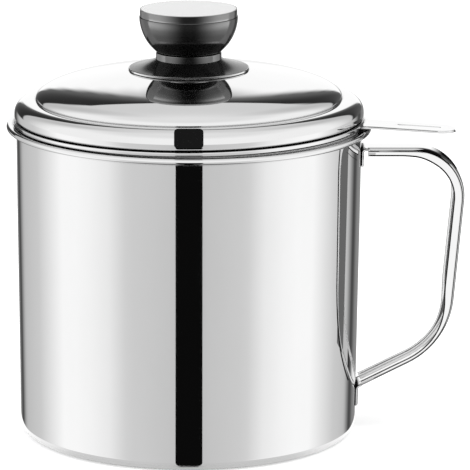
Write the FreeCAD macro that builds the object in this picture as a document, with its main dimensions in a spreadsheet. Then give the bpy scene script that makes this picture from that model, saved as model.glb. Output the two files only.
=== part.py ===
"""Bacon grease container: a drawn steel pot with a strip handle, a lift-out strainer and a domed lid.

Millimetres, +Z up, origin at the centre of the pot's base, handle along +X.
The strainer's tab runs out under the strainer's ring and over the pot's rim, so the strainer and the
lid sit tipped up on that side by the thickness of the tab.  Everything that tips with them is drawn
level in one seat frame, whose zero is the underside of the strainer's ring, and placed by one
rotation.
"""
import FreeCAD, Part
import math
import os

import Sketcher

V = FreeCAD.Vector

# Driving dimensions, in millimetres and degrees.
SIZES = {
    # Pot: outer radii of the wall, overall height to the top of the rolled rim.  A roundness is the
    # share of a piece's thickness or half width that its rounding takes.
    "pot_rim_radius": 65.0,
    "pot_taper": 1.4,
    "pot_height": 118.9,
    "pot_sheet": 0.6,
    "pot_corner_radius": 4.0,
    "rim_roll_width": 3.6,
    "rim_roll_height": 2.0,
    "rim_roundness": 0.49,
    # Handle: a channel strip; its path is given by the outer face of the web.  Its flanges are
    # deepest in the grip and are trimmed shallower towards both ends.  The path runs on into the
    # pot's wall by the root share of its last leg, and is trimmed there.
    "handle_width": 14.0,
    "handle_sheet": 1.0,
    "handle_edge_radius": 1.6,
    "flange_top_depth": 3.05,
    "flange_grip_depth": 4.3,
    "flange_foot_depth": 2.45,
    "flange_top_bend": 15.5,
    "flange_low_bend": 20.0,
    "handle_drop": 7.3,
    "handle_standoff": 40.7,
    "handle_top_bend": 19.0,
    "handle_low_standoff": 35.5,
    "handle_low_height": 33.6,
    "handle_low_bend": 31.0,
    "handle_foot": 15.7,
    "handle_root_share": 0.3,
    "weld_tab_drop": 9.0,
    "weld_tab_foot": 6.0,
    # Strainer: the collar's wall tapers from the mouth to the floor.
    "strainer_ring_overhang": 0.8,
    "strainer_ring_height": 0.9,
    "strainer_ring_roundness": 0.45,
    "strainer_sheet": 0.5,
    "strainer_gap": 1.2,
    "strainer_depth": 27.0,
    "strainer_taper": 5.2,
    "strainer_corner_radius": 3.0,
    "floor_lip_width": 7.5,
    "seat_clearance": 0.1,
    "mesh_sheet": 0.4,
    "mesh_hole": 2.4,
    "mesh_pitch": 5.6,
    "mesh_rings": 8.0,
    "mesh_edge_gap": 2.0,
    "clamp_ring_width": 4.5,
    "clamp_ring_height": 0.8,
    "clamp_ring_gap": 0.5,
    # Tab: a tongue that leaves the ring flat and then droops.
    "tab_sheet": 1.1,
    "tab_width": 13.0,
    "tab_length": 34.6,
    "tab_bend_gap": 3.2,
    "tab_droop": 2.7,
    "tab_turn": 8.2,
    "tab_root_gap": 0.3,
    "tab_tip_roundness": 0.98,
    "tab_groove_tip_gap": 6.4,
    "tab_groove_length": 14.5,
    "tab_groove_width": 1.6,
    "tab_groove_depth": 0.35,
    # Lid: heights are taken from the lid's lower edge.
    "lid_inset": 0.1,
    "lid_sheet": 0.6,
    "lid_clearance": 0.05,
    "lid_edge_radius": 1.3,
    "lid_shoulder_radius": 5.2,
    "lid_shoulder_height": 7.45,
    "lid_shoulder_width": 8.1,
    "lid_crease_step": 0.22,
    "dome_rise": 10.65,
    "dome_knuckle_radius": 5.0,
    "skirt_gap": 0.4,
    "skirt_depth": 6.0,
    # Knob: heights are taken from the top of the dome.
    "knob_flange_radius": 22.6,
    "knob_flange_edge": 0.9,
    "knob_neck_radius": 12.3,
    "knob_neck_foot": 3.95,
    "knob_neck_top": 6.4,
    "knob_flare_radius": 34.0,
    "knob_bowl_foot_radius": 11.7,
    "knob_bowl_radius": 18.5,
    "knob_bowl_curve": 17.4,
    "knob_bowl_top": 20.05,
    "knob_cap_inset": 0.25,
    "knob_cap_height": 2.75,
    "knob_spigot_radius": 8.0,
    "knob_spigot_height": 1.5,
    "knob_disc_inset": 0.35,
    "knob_disc_sheet": 0.5,
    "knob_disc_proud": 0.05,
    "knob_fit": 0.05,
    # Fixing: an M4 pan-head screw from under the lid into a moulded-in insert.
    "screw_radius": 1.95,
    "screw_head_radius": 3.8,
    "screw_head_height": 2.6,
    "screw_slot_width": 1.0,
    "screw_slot_depth": 1.2,
    "screw_reach": 13.5,
    "screw_hole_gap": 0.25,
    "insert_radius": 3.2,
    "insert_length": 9.0,
    "insert_head": 0.6,
    "washer_radius": 6.0,
    "washer_sheet": 0.8,
    "lock_washer_radius": 3.6,
    "lock_washer_height": 1.0,
    "lock_washer_cut": 0.8,
}

# Places worked out from the driving dimensions, each a formula in the same sheet.
PLACES = {
    # Pot wall and rim.
    "pot_base_radius": "pot_rim_radius - pot_taper",
    "pot_inner_rim": "pot_rim_radius - pot_sheet",
    "pot_inner_base": "pot_base_radius - pot_sheet",
    "rim_radius": "pot_rim_radius + rim_roll_width",
    "rim_foot": "pot_height - rim_roll_height",
    "rim_corner": "rim_roll_height * rim_roundness",
    "pot_inner_corner": "pot_corner_radius - pot_sheet",
    # Handle section and path.
    "handle_top": "rim_foot - handle_drop",
    "handle_reach": "pot_rim_radius + handle_standoff",
    "handle_low_reach": "pot_base_radius + handle_low_standoff",
    "handle_side": "handle_width / 2",
    "handle_side_back": "-handle_side",
    "handle_inner_side": "handle_side - handle_sheet",
    "handle_inner_side_back": "-handle_inner_side",
    "handle_flat_side": "handle_side - handle_edge_radius",
    "handle_flat_side_back": "-handle_flat_side",
    "handle_lip": "handle_top - flange_grip_depth",
    "handle_web_under": "handle_top - handle_sheet",
    "handle_shoulder": "handle_top - handle_edge_radius",
    "handle_low_run": "handle_low_reach - pot_base_radius",
    "handle_low_rise": "handle_low_height - handle_foot",
    "handle_low_end": "handle_foot - handle_low_rise * handle_root_share",
    "handle_low_end_reach": "pot_base_radius - handle_low_run * handle_root_share",
    "limb_lean": "atan((handle_reach - handle_low_reach) / (handle_top - handle_low_height))",
    "foot_lean": "atan(handle_low_rise / handle_low_run)",
    "flange_inset": "flange_grip_depth / cos(limb_lean)",
    "flange_lift": "flange_foot_depth / cos(foot_lean)",
    "flange_top": "handle_top - flange_top_depth",
    "flange_reach": "handle_reach - flange_inset - flange_top_depth * tan(limb_lean)",
    "flange_low_rise": "(flange_lift - flange_inset * tan(foot_lean))"
                       " / (1 - tan(limb_lean) * tan(foot_lean))",
    "flange_low_height": "handle_low_height + flange_low_rise",
    "flange_low_reach": "handle_low_reach - flange_inset + flange_low_rise * tan(limb_lean)",
    "flange_axis_height": "flange_low_height - flange_low_reach * tan(foot_lean)",
    "pot_draft": "(pot_rim_radius - pot_base_radius) / rim_foot",
    "weld_top_radius": "pot_base_radius + pot_draft * handle_web_under",
    "weld_top_face": "weld_top_radius + handle_sheet",
    "weld_drop_height": "handle_top - weld_tab_drop",
    "weld_drop_radius": "pot_base_radius + pot_draft * weld_drop_height",
    "weld_drop_face": "weld_drop_radius + handle_sheet",
    "weld_foot_top": "handle_foot + handle_sheet",
    "weld_foot_top_radius": "pot_base_radius + pot_draft * weld_foot_top",
    "weld_foot_top_face": "weld_foot_top_radius + handle_sheet",
    "weld_foot_height": "handle_foot - weld_tab_foot",
    "weld_foot_radius": "pot_base_radius + pot_draft * weld_foot_height",
    "weld_foot_face": "weld_foot_radius + handle_sheet",
    "weld_tab_angle": "2 * asin(handle_side / pot_rim_radius)",
    "trim_low": "-pot_corner_radius",
    "trim_low_radius": "pot_base_radius + pot_draft * trim_low",
    "trim_high": "pot_height + pot_corner_radius",
    "trim_high_radius": "pot_base_radius + pot_draft * trim_high",
    # Seat frame of the strainer and the lid.
    "strainer_ring_radius": "pot_rim_radius + strainer_ring_overhang",
    "seat_span": "strainer_ring_radius + pot_rim_radius",
    "seat_tilt": "asin(tab_sheet / seat_span)",
    "seat_lift": "strainer_ring_radius * tab_sheet / seat_span",
    "seat_height": "pot_height + seat_clearance + seat_lift",
    # Strainer collar.
    "collar_mouth": "pot_inner_rim - strainer_gap",
    "collar_inner_mouth": "collar_mouth - strainer_sheet",
    "strainer_floor_radius": "collar_mouth - strainer_taper",
    "collar_inner_floor": "strainer_floor_radius - strainer_sheet",
    "collar_bottom": "-strainer_depth",
    "collar_floor": "collar_bottom + strainer_sheet",
    "floor_lip_radius": "strainer_floor_radius - floor_lip_width",
    "collar_inner_corner": "strainer_corner_radius - strainer_sheet",
    "ring_corner": "strainer_ring_height * strainer_ring_roundness",
    # Perforated disc and the ring that clamps it.
    "mesh_radius": "collar_inner_floor - mesh_edge_gap",
    "mesh_top": "collar_floor + mesh_sheet",
    "clamp_inner_radius": "mesh_radius - clamp_ring_gap - clamp_ring_width",
    "clamp_outer_radius": "mesh_radius - clamp_ring_gap",
    "clamp_top": "mesh_top + clamp_ring_height",
    # Tab.
    "tab_reach": "strainer_ring_radius + tab_length",
    "tab_bend_reach": "strainer_ring_radius + tab_bend_gap",
    "tab_groove_end": "tab_reach - tab_groove_tip_gap",
    "tab_groove_start": "tab_groove_end - tab_groove_length",
    "tab_root": "collar_mouth + tab_root_gap",
    "tab_side": "tab_width / 2",
    "tab_run": "tab_reach - tab_bend_reach",
    "tab_tip_top": "-tab_run * tan(tab_droop)",
    "tab_tip_under": "tab_tip_top - tab_sheet",
    "tab_under": "-tab_sheet",
    "tab_tip_radius": "tab_side * tab_tip_roundness",
    "groove_start_top": "-(tab_groove_start - tab_bend_reach) * tan(tab_droop)",
    "groove_end_top": "-(tab_groove_end - tab_bend_reach) * tan(tab_droop)",
    "groove_start_floor": "groove_start_top - tab_groove_depth",
    "groove_end_floor": "groove_end_top - tab_groove_depth",
    "groove_start_clear": "groove_start_top + tab_groove_depth",
    "groove_end_clear": "groove_end_top + tab_groove_depth",
    # Lid, in the seat frame.
    "lid_radius": "strainer_ring_radius - lid_inset",
    "lid_crease_radius": "lid_radius - lid_shoulder_width",
    "lid_foot": "strainer_ring_height + lid_clearance",
    "lid_edge_inner_radius": "lid_edge_radius - lid_sheet",
    "lid_inner_radius": "lid_radius - lid_sheet",
    "lid_floor": "lid_foot + lid_sheet",
    "lid_shoulder": "lid_foot + lid_shoulder_height",
    "lid_inner_shoulder": "lid_shoulder - lid_sheet",
    "lid_inner_shoulder_radius": "lid_shoulder_radius - lid_sheet",
    "lid_crease": "lid_shoulder + lid_crease_step",
    "lid_inner_crease": "lid_crease_radius - lid_sheet",
    "dome_apex": "lid_crease + dome_rise",
    "dome_inner_apex": "dome_apex - lid_sheet",
    "dome_inner_knuckle": "dome_knuckle_radius - lid_sheet",
    "dome_knuckle_center": "lid_crease_radius - dome_knuckle_radius",
    "dome_crown_radius": "(dome_knuckle_center ^ 2 + dome_rise ^ 2 - dome_knuckle_radius ^ 2)"
                         " / (2 * (dome_rise - dome_knuckle_radius))",
    "dome_inner_crown": "dome_crown_radius - lid_sheet",
    "dome_crown_angle": "asin(dome_knuckle_center / (dome_crown_radius - dome_knuckle_radius))",
    "dome_join_radius": "dome_crown_radius * sin(dome_crown_angle)",
    "dome_join_height": "dome_apex - dome_crown_radius * (1 - cos(dome_crown_angle))",
    "dome_inner_join_radius": "dome_inner_crown * sin(dome_crown_angle)",
    "dome_inner_join_height": "dome_inner_apex - dome_inner_crown * (1 - cos(dome_crown_angle))",
    "skirt_foot": "lid_foot - skirt_depth",
    "collar_draft": "(collar_inner_mouth - collar_inner_floor) / (strainer_ring_height - collar_floor)",
    "collar_at_skirt": "collar_inner_mouth - collar_draft * (strainer_ring_height - skirt_foot)",
    "skirt_radius": "collar_at_skirt - skirt_gap",
    "skirt_inner_radius": "skirt_radius - lid_sheet",
    "screw_hole_radius": "screw_radius + screw_hole_gap",
    "dome_hole_top": "dome_apex - dome_crown_radius + sqrt(dome_crown_radius ^ 2 - screw_hole_radius ^ 2)",
    "dome_hole_under": "dome_apex - dome_crown_radius + sqrt(dome_inner_crown ^ 2 - screw_hole_radius ^ 2)",
    # Knob, in the seat frame.
    "flange_edge_top": "dome_apex + knob_flange_edge",
    "neck_foot": "dome_apex + knob_neck_foot",
    "neck_top": "dome_apex + knob_neck_top",
    "bowl_top": "dome_apex + knob_bowl_top",
    "spigot_top": "bowl_top + knob_spigot_height",
    "cap_radius": "knob_bowl_radius - knob_cap_inset",
    "cap_recess_radius": "knob_spigot_radius + knob_fit",
    "cap_top": "bowl_top + knob_cap_height",
    "disc_seat": "cap_top - knob_disc_sheet + knob_disc_proud",
    "disc_radius": "cap_radius - knob_disc_inset",
    "disc_recess_radius": "disc_radius + knob_fit",
    "disc_top": "disc_seat + knob_disc_sheet",
    # Fixing.
    "washer_seat_sag": "dome_inner_crown - sqrt(dome_inner_crown ^ 2 - washer_radius ^ 2)",
    "washer_top": "dome_inner_apex - washer_seat_sag",
    "washer_under": "washer_top - washer_sheet",
    "lock_washer_under": "washer_under - lock_washer_height",
    "screw_head_under": "lock_washer_under - screw_head_height",
    "screw_slot_top": "screw_head_under + screw_slot_depth",
    "screw_tip": "dome_apex + screw_reach",
    "insert_foot": "neck_top",
    "insert_top": "insert_foot + insert_length",
    "insert_cavity_top": "insert_top + insert_head",
    "insert_cavity_radius": "insert_radius + knob_fit",
    "insert_bore": "screw_radius + knob_fit",
    "washer_bore": "screw_radius + screw_hole_gap",
    "lock_cut_side": "lock_washer_cut / 2",
    "lock_cut_side_back": "-lock_cut_side",
    "slot_side": "screw_slot_width / 2",
    "slot_side_back": "-slot_side",
    "slot_end": "screw_head_radius + screw_slot_width",
    "slot_end_back": "-slot_end",
    "lock_cut_end": "lock_washer_radius + lock_washer_cut",
}

doc = FreeCAD.newDocument("bacon_grease_container")
sheet = doc.addObject("Spreadsheet::Sheet", "Sizes")


def fill_sheet():
    """Write the driving dimensions as plain numbers and the places as formulas, each with an alias."""
    row = 1
    for name, value in SIZES.items():
        sheet.set(f"A{row}", name)
        sheet.set(f"B{row}", str(value))
        sheet.setAlias(f"B{row}", name)
        row += 1
    for name, formula in PLACES.items():
        sheet.set(f"A{row}", name)
        sheet.set(f"B{row}", "=" + formula)
        sheet.setAlias(f"B{row}", name)
        row += 1
    doc.recompute()


def size(name):
    """Present value of a cell of the sheet."""
    value = sheet.get(name)
    return float(getattr(value, "Value", value))


def bind(thing, path, name):
    """Tie a property or a constraint to a cell of the sheet."""
    thing.setExpression(path, f"Sizes.{name}")


def new_body(label):
    body = doc.addObject("PartDesign::Body", label)
    body.Label = label
    return body


def plane(body, role):
    return next(item for item in body.Origin.OriginFeatures if item.Role == role)


def new_sketch(body, name, role="XZ_Plane"):
    sketch = body.newObject("Sketcher::SketchObject", name)
    sketch.AttachmentSupport = [(plane(body, role), "")]
    sketch.MapMode = "FlatFace"
    return sketch


def coordinate(name):
    return 0.0 if name == "zero" else size(name)


def pin(sketch, axis, geometry, point, name):
    """Hold one coordinate of a point: on the axis for "zero", else at the named cell."""
    if name == "zero":
        reference = -2 if axis == "DistanceX" else -1
        sketch.addConstraint(Sketcher.Constraint("PointOnObject", geometry, point, reference))
        return
    index = sketch.addConstraint(Sketcher.Constraint(axis, -1, 1, geometry, point, size(name)))
    bind(sketch, f"Constraints[{index}]", name)


def arc_through(start, end, radius, clockwise):
    """Circle arc from start to end, as a sketch arc that always runs counter-clockwise."""
    middle = (start + end) * 0.5
    chord = end - start
    height = math.sqrt(max(radius ** 2 - (chord.Length / 2) ** 2, 0.0))
    across = V(-chord.y, chord.x, 0).normalize()
    center = middle - across * height if clockwise else middle + across * height
    first, last = (end, start) if clockwise else (start, end)
    begin = math.atan2(first.y - center.y, first.x - center.x)
    finish = math.atan2(last.y - center.y, last.x - center.x)
    return Part.ArcOfCircle(Part.Circle(center, V(0, 0, 1), radius), begin, finish)


def draw(sketch, steps, closed=True):
    """Draw an outline through named points.

    Each step is (x, y) for a straight side that ends there, or (x, y, radius, turn) for an arc,
    where turn is "left" for counter-clockwise travel and "right" for clockwise.
    """
    points = [V(coordinate(step[0]), coordinate(step[1]), 0) for step in steps]
    spans = range(len(steps)) if closed else range(1, len(steps))
    ends = []
    for index in spans:
        start, end, step = points[index - 1], points[index], steps[index]
        if len(step) == 2:
            sketch.addGeometry(Part.LineSegment(start, end))
            ends.append((1, 2))
            continue
        clockwise = step[3] == "right"
        geometry = sketch.addGeometry(arc_through(start, end, size(step[2]), clockwise))
        ends.append((2, 1) if clockwise else (1, 2))
        radius = sketch.addConstraint(Sketcher.Constraint("Radius", geometry, size(step[2])))
        bind(sketch, f"Constraints[{radius}]", step[2])
    count = len(ends)
    for geometry, index in enumerate(spans):
        pin(sketch, "DistanceX", geometry, ends[geometry][1], steps[index][0])
        pin(sketch, "DistanceY", geometry, ends[geometry][1], steps[index][1])
        following = (geometry + 1) % count
        if closed or geometry + 1 < count:
            sketch.addConstraint(Sketcher.Constraint(
                "Coincident", geometry, ends[geometry][1], following, ends[following][0]))
    if not closed:
        pin(sketch, "DistanceX", 0, ends[0][0], steps[0][0])
        pin(sketch, "DistanceY", 0, ends[0][0], steps[0][1])
    doc.recompute()
    return sketch


def turned(body, steps, name="profile"):
    """Revolve an outline, drawn in the XZ plane, about the body's Z axis."""
    sketch = draw(new_sketch(body, f"{body.Name}_{name}"), steps)
    turn = body.newObject("PartDesign::Revolution", f"{body.Name}_{name}_turn")
    turn.Profile = sketch
    turn.ReferenceAxis = (sketch, ["V_Axis"])
    turn.Angle = 360
    doc.recompute()
    return turn


def round_edges(body, radius, picks):
    """Fillet the circular edges that lie at the named (radius, height) pairs."""
    base = body.Tip
    names = []
    for index, edge in enumerate(base.Shape.Edges, start=1):
        curve = edge.Curve
        if not isinstance(curve, Part.Circle):
            continue
        for across, height in picks:
            near_radius = abs(curve.Radius - size(across)) < 0.01
            near_height = abs(curve.Center.z - coordinate(height)) < 0.01
            if near_radius and near_height:
                names.append(f"Edge{index}")
    fillet = body.newObject("PartDesign::Fillet", f"{body.Name}_round")
    fillet.Base = (base, names)
    bind(fillet, "Radius", radius)
    doc.recompute()
    return fillet


def seat(body):
    """Put a piece of the strainer or the lid on its tipped seat over the pot's rim."""
    turn = "rotationz(-Sizes.tab_turn) * rotationy(-Sizes.seat_tilt)"
    body.setExpression("Placement", f"placement(vector(0; 0; Sizes.seat_height); {turn})")


def cut_check(body, before, what):
    """A cut that points away from the solid removes nothing and raises no error."""
    if body.Shape.Volume >= before - 1e-6:
        raise ValueError(f"{what} cut nothing from {body.Label}")


# ---------------------------------------------------------------- pot

def make_pot_cup():
    body = new_body("pot_cup")
    turned(body, [
        ("zero", "zero"),
        ("pot_base_radius", "zero"),
        ("pot_rim_radius", "rim_foot"),
        ("rim_radius", "rim_foot"),
        ("rim_radius", "pot_height"),
        ("pot_inner_rim", "pot_height"),
        ("pot_inner_base", "pot_sheet"),
        ("zero", "pot_sheet"),
    ])
    round_edges(body, "pot_corner_radius", [("pot_base_radius", "zero")])
    round_edges(body, "pot_inner_corner", [("pot_inner_base", "pot_sheet")])
    round_edges(body, "rim_corner", [
        ("rim_radius", "rim_foot"),
        ("rim_radius", "pot_height"),
        ("pot_inner_rim", "pot_height"),
    ])
    return body


def weld_tab(body, name, top, bottom):
    """One end of the strip, bent to lie on the pot's wall: a thin sector of the wall's own cone."""
    top_radius, top_face, top_height = top
    low_radius, low_face, low_height = bottom
    sketch = draw(new_sketch(body, f"{body.Name}_{name}"), [
        (low_radius, low_height),
        (low_face, low_height),
        (top_face, top_height),
        (top_radius, top_height),
    ])
    turn = body.newObject("PartDesign::Revolution", f"{body.Name}_{name}_turn")
    turn.Profile = sketch
    turn.ReferenceAxis = (sketch, ["V_Axis"])
    turn.Midplane = True
    bind(turn, "Angle", "weld_tab_angle")
    doc.recompute()


def make_pot_handle():
    body = new_body("pot_handle")
    path = new_sketch(body, "handle_path")
    corners = [
        ("zero", "handle_top"),
        ("handle_reach", "handle_top"),
        ("handle_low_reach", "handle_low_height"),
        ("handle_low_end_reach", "handle_low_end"),
    ]
    draw(path, corners, closed=False)
    for first, radius in ((0, "handle_top_bend"), (1, "handle_low_bend")):
        bend_corner(path, first, radius)
    section = new_sketch(body, "handle_section", "YZ_Plane")
    draw(section, [
        ("handle_inner_side_back", "handle_lip"),
        ("handle_inner_side_back", "handle_web_under"),
        ("handle_inner_side", "handle_web_under"),
        ("handle_inner_side", "handle_lip"),
        ("handle_side", "handle_lip"),
        ("handle_side", "handle_shoulder"),
        ("handle_flat_side", "handle_top", "handle_edge_radius", "left"),
        ("handle_flat_side_back", "handle_top"),
        ("handle_side_back", "handle_shoulder", "handle_edge_radius", "left"),
        ("handle_side_back", "handle_lip"),
    ])
    strip = body.newObject("PartDesign::AdditivePipe", "handle_strip")
    strip.Profile = section
    strip.Spine = (path, [])
    doc.recompute()
    trim_flanges(body)
    weld_tab(body, "upper_tab",
             ("weld_top_radius", "weld_top_face", "handle_web_under"),
             ("weld_drop_radius", "weld_drop_face", "weld_drop_height"))
    weld_tab(body, "lower_tab",
             ("weld_foot_top_radius", "weld_foot_top_face", "weld_foot_top"),
             ("weld_foot_radius", "weld_foot_face", "weld_foot_height"))
    before = body.Shape.Volume
    trim = draw(new_sketch(body, "handle_trim"), [
        ("zero", "trim_low"),
        ("trim_low_radius", "trim_low"),
        ("trim_high_radius", "trim_high"),
        ("zero", "trim_high"),
    ])
    groove = body.newObject("PartDesign::Groove", "handle_trim_turn")
    groove.Profile = trim
    groove.ReferenceAxis = (trim, ["V_Axis"])
    groove.Angle = 360
    doc.recompute()
    cut_check(body, before, "the trim to the pot's wall")
    return body


def trim_flanges(body):
    """Cut the lips of both flanges back to a line that leaves them deepest in the grip."""
    before = body.Shape.Volume
    inside = draw(new_sketch(body, "flange_line"), [
        ("zero", "flange_top"),
        ("flange_reach", "flange_top"),
        ("flange_low_reach", "flange_low_height"),
        ("zero", "flange_axis_height"),
    ])
    for first, radius in ((1, "flange_top_bend"), (2, "flange_low_bend")):
        bend_corner(inside, first, radius)
    trim = body.newObject("PartDesign::Pocket", "flange_trim")
    trim.Profile = inside
    trim.Type = "ThroughAll"
    trim.Midplane = True
    doc.recompute()
    cut_check(body, before, "the flange trim")


def bend_corner(path, first, radius):
    """Round the corner of the path between side `first` and the side that follows it."""
    path.fillet(first, 2, size(radius), True, True)
    arc = path.GeometryCount - 2
    index = path.addConstraint(Sketcher.Constraint("Radius", arc, size(radius)))
    bind(path, f"Constraints[{index}]", radius)
    doc.recompute()


# ---------------------------------------------------------------- strainer

def make_strainer_collar():
    body = new_body("strainer_collar")
    turned(body, [
        ("floor_lip_radius", "collar_bottom"),
        ("strainer_floor_radius", "collar_bottom"),
        ("collar_mouth", "zero"),
        ("strainer_ring_radius", "zero"),
        ("strainer_ring_radius", "strainer_ring_height"),
        ("collar_inner_mouth", "strainer_ring_height"),
        ("collar_inner_floor", "collar_floor"),
        ("floor_lip_radius", "collar_floor"),
    ])
    round_edges(body, "strainer_corner_radius", [("strainer_floor_radius", "collar_bottom")])
    round_edges(body, "collar_inner_corner", [("collar_inner_floor", "collar_floor")])
    round_edges(body, "ring_corner", [
        ("strainer_ring_radius", "zero"),
        ("strainer_ring_radius", "strainer_ring_height"),
        ("collar_inner_mouth", "strainer_ring_height"),
    ])
    seat(body)
    return body


def make_strainer_mesh():
    body = new_body("strainer_mesh")
    turned(body, [
        ("zero", "collar_floor"),
        ("mesh_radius", "collar_floor"),
        ("mesh_radius", "mesh_top"),
        ("zero", "mesh_top"),
    ])
    before = body.Shape.Volume
    for ring in range(1, int(size("mesh_rings")) + 1):
        punch_ring(body, ring)
    cut_check(body, before, "the perforation")
    seat(body)
    return body


def punch_ring(body, ring):
    """One circle of holes: six to the first ring, six more to each ring outside it."""
    sketch = new_sketch(body, f"mesh_hole_{ring}", "XY_Plane")
    place = V(size("mesh_pitch") * ring, 0, 0)
    sketch.addGeometry(Part.Circle(place, V(0, 0, 1), size("mesh_hole") / 2))
    across = sketch.addConstraint(Sketcher.Constraint("Diameter", 0, size("mesh_hole")))
    bind(sketch, f"Constraints[{across}]", "mesh_hole")
    along = sketch.addConstraint(Sketcher.Constraint("DistanceX", -1, 1, 0, 3, place.x))
    sketch.setExpression(f"Constraints[{along}]", f"Sizes.mesh_pitch * {ring}")
    sketch.addConstraint(Sketcher.Constraint("PointOnObject", 0, 3, -1))
    doc.recompute()
    hole = body.newObject("PartDesign::Pocket", f"mesh_hole_{ring}_cut")
    hole.Profile = sketch
    hole.Type = "ThroughAll"
    hole.Midplane = True
    doc.recompute()
    pattern = body.newObject("PartDesign::PolarPattern", f"mesh_hole_{ring}_ring")
    pattern.Originals = [hole]
    pattern.Axis = (sketch, ["N_Axis"])
    pattern.Angle = 360
    pattern.Occurrences = 6 * ring
    body.Tip = pattern
    doc.recompute()


def make_mesh_clamp_ring():
    body = new_body("mesh_clamp_ring")
    turned(body, [
        ("clamp_inner_radius", "mesh_top"),
        ("clamp_outer_radius", "mesh_top"),
        ("clamp_outer_radius", "clamp_top"),
        ("clamp_inner_radius", "clamp_top"),
    ])
    seat(body)
    return body


def make_strainer_tab():
    body = new_body("strainer_tab")
    side = draw(new_sketch(body, "tab_side_view"), [
        ("tab_root", "tab_under"),
        ("tab_bend_reach", "tab_under"),
        ("tab_reach", "tab_tip_under"),
        ("tab_reach", "tab_tip_top"),
        ("tab_bend_reach", "zero"),
        ("tab_root", "zero"),
    ])
    tongue = body.newObject("PartDesign::Pad", "tab_tongue")
    tongue.Profile = side
    tongue.Midplane = True
    bind(tongue, "Length", "tab_width")
    doc.recompute()
    tip = [f"Edge{index}" for index, edge in enumerate(tongue.Shape.Edges, start=1)
           if is_tip_edge(edge)]
    rounding = body.newObject("PartDesign::Fillet", "tab_tip")
    rounding.Base = (tongue, tip)
    bind(rounding, "Radius", "tab_tip_radius")
    doc.recompute()
    before = body.Shape.Volume
    outline = draw(new_sketch(body, "tab_groove"), [
        ("tab_groove_start", "groove_start_floor"),
        ("tab_groove_end", "groove_end_floor"),
        ("tab_groove_end", "groove_end_clear"),
        ("tab_groove_start", "groove_start_clear"),
    ])
    groove = body.newObject("PartDesign::Pocket", "tab_groove_cut")
    groove.Profile = outline
    groove.Midplane = True
    bind(groove, "Length", "tab_groove_width")
    doc.recompute()
    cut_check(body, before, "the stamped groove")
    seat(body)
    return body


def is_tip_edge(edge):
    box = edge.BoundBox
    return box.XLength < 0.01 and box.YLength < 0.01 and abs(box.XMax - size("tab_reach")) < 0.01


# ---------------------------------------------------------------- lid

def make_lid_shell():
    body = new_body("lid_shell")
    turned(body, [
        ("screw_hole_radius", "dome_hole_under"),
        ("dome_inner_join_radius", "dome_inner_join_height", "dome_inner_crown", "right"),
        ("lid_inner_crease", "lid_crease", "dome_inner_knuckle", "right"),
        ("lid_inner_crease", "lid_inner_shoulder"),
        ("lid_inner_radius", "lid_inner_shoulder"),
        ("lid_inner_radius", "lid_floor"),
        ("skirt_radius", "lid_floor"),
        ("skirt_radius", "lid_foot"),
        ("lid_radius", "lid_foot"),
        ("lid_radius", "lid_shoulder"),
        ("lid_crease_radius", "lid_shoulder"),
        ("lid_crease_radius", "lid_crease"),
        ("dome_join_radius", "dome_join_height", "dome_knuckle_radius", "left"),
        ("screw_hole_radius", "dome_hole_top", "dome_crown_radius", "left"),
    ])
    round_edges(body, "lid_shoulder_radius", [("lid_radius", "lid_shoulder")])
    round_edges(body, "lid_inner_shoulder_radius", [("lid_inner_radius", "lid_inner_shoulder")])
    round_edges(body, "lid_edge_radius", [("lid_radius", "lid_foot")])
    round_edges(body, "lid_edge_inner_radius", [("lid_inner_radius", "lid_floor")])
    seat(body)
    return body


def make_lid_skirt():
    """Ring that drops into the strainer's mouth and centres the lid; its top is welded into the shell."""
    body = new_body("lid_skirt")
    turned(body, [
        ("skirt_inner_radius", "skirt_foot"),
        ("skirt_radius", "skirt_foot"),
        ("skirt_radius", "lid_floor"),
        ("skirt_inner_radius", "lid_floor"),
    ])
    seat(body)
    return body


# ---------------------------------------------------------------- knob

def make_knob_base():
    body = new_body("knob_base")
    turned(body, [
        ("screw_hole_radius", "dome_apex"),
        ("knob_flange_radius", "dome_apex"),
        ("knob_flange_radius", "flange_edge_top"),
        ("knob_neck_radius", "neck_foot", "knob_flare_radius", "right"),
        ("knob_neck_radius", "neck_top"),
        ("screw_hole_radius", "neck_top"),
    ])
    seat(body)
    return body


def make_knob_bowl():
    body = new_body("knob_bowl")
    turned(body, [
        ("insert_cavity_radius", "neck_top"),
        ("knob_bowl_foot_radius", "neck_top"),
        ("knob_bowl_radius", "bowl_top", "knob_bowl_curve", "left"),
        ("knob_spigot_radius", "bowl_top"),
        ("knob_spigot_radius", "spigot_top"),
        ("zero", "spigot_top"),
        ("zero", "insert_cavity_top"),
        ("insert_cavity_radius", "insert_cavity_top"),
    ])
    seat(body)
    return body


def make_knob_cap():
    body = new_body("knob_cap")
    turned(body, [
        ("cap_recess_radius", "bowl_top"),
        ("cap_radius", "bowl_top"),
        ("cap_radius", "cap_top"),
        ("disc_recess_radius", "cap_top"),
        ("disc_recess_radius", "disc_seat"),
        ("zero", "disc_seat"),
        ("zero", "spigot_top"),
        ("cap_recess_radius", "spigot_top"),
    ])
    seat(body)
    return body


def make_knob_disc():
    body = new_body("knob_disc")
    turned(body, [
        ("zero", "disc_seat"),
        ("disc_radius", "disc_seat"),
        ("disc_radius", "disc_top"),
        ("zero", "disc_top"),
    ])
    seat(body)
    return body


def make_knob_insert():
    body = new_body("knob_insert")
    turned(body, [
        ("insert_bore", "insert_foot"),
        ("insert_radius", "insert_foot"),
        ("insert_radius", "insert_top"),
        ("insert_bore", "insert_top"),
    ])
    seat(body)
    return body


def slot_cut(body, name, outline, depth):
    """Straight slot through the body's XY outline, cut upwards from the XY plane."""
    before = body.Shape.Volume
    sketch = draw(new_sketch(body, f"{body.Name}_{name}", "XY_Plane"), outline)
    pocket = body.newObject("PartDesign::Pocket", f"{body.Name}_{name}_cut")
    pocket.Profile = sketch
    pocket.Reversed = True
    bind(pocket, "Length", depth)
    doc.recompute()
    cut_check(body, before, name)


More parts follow.
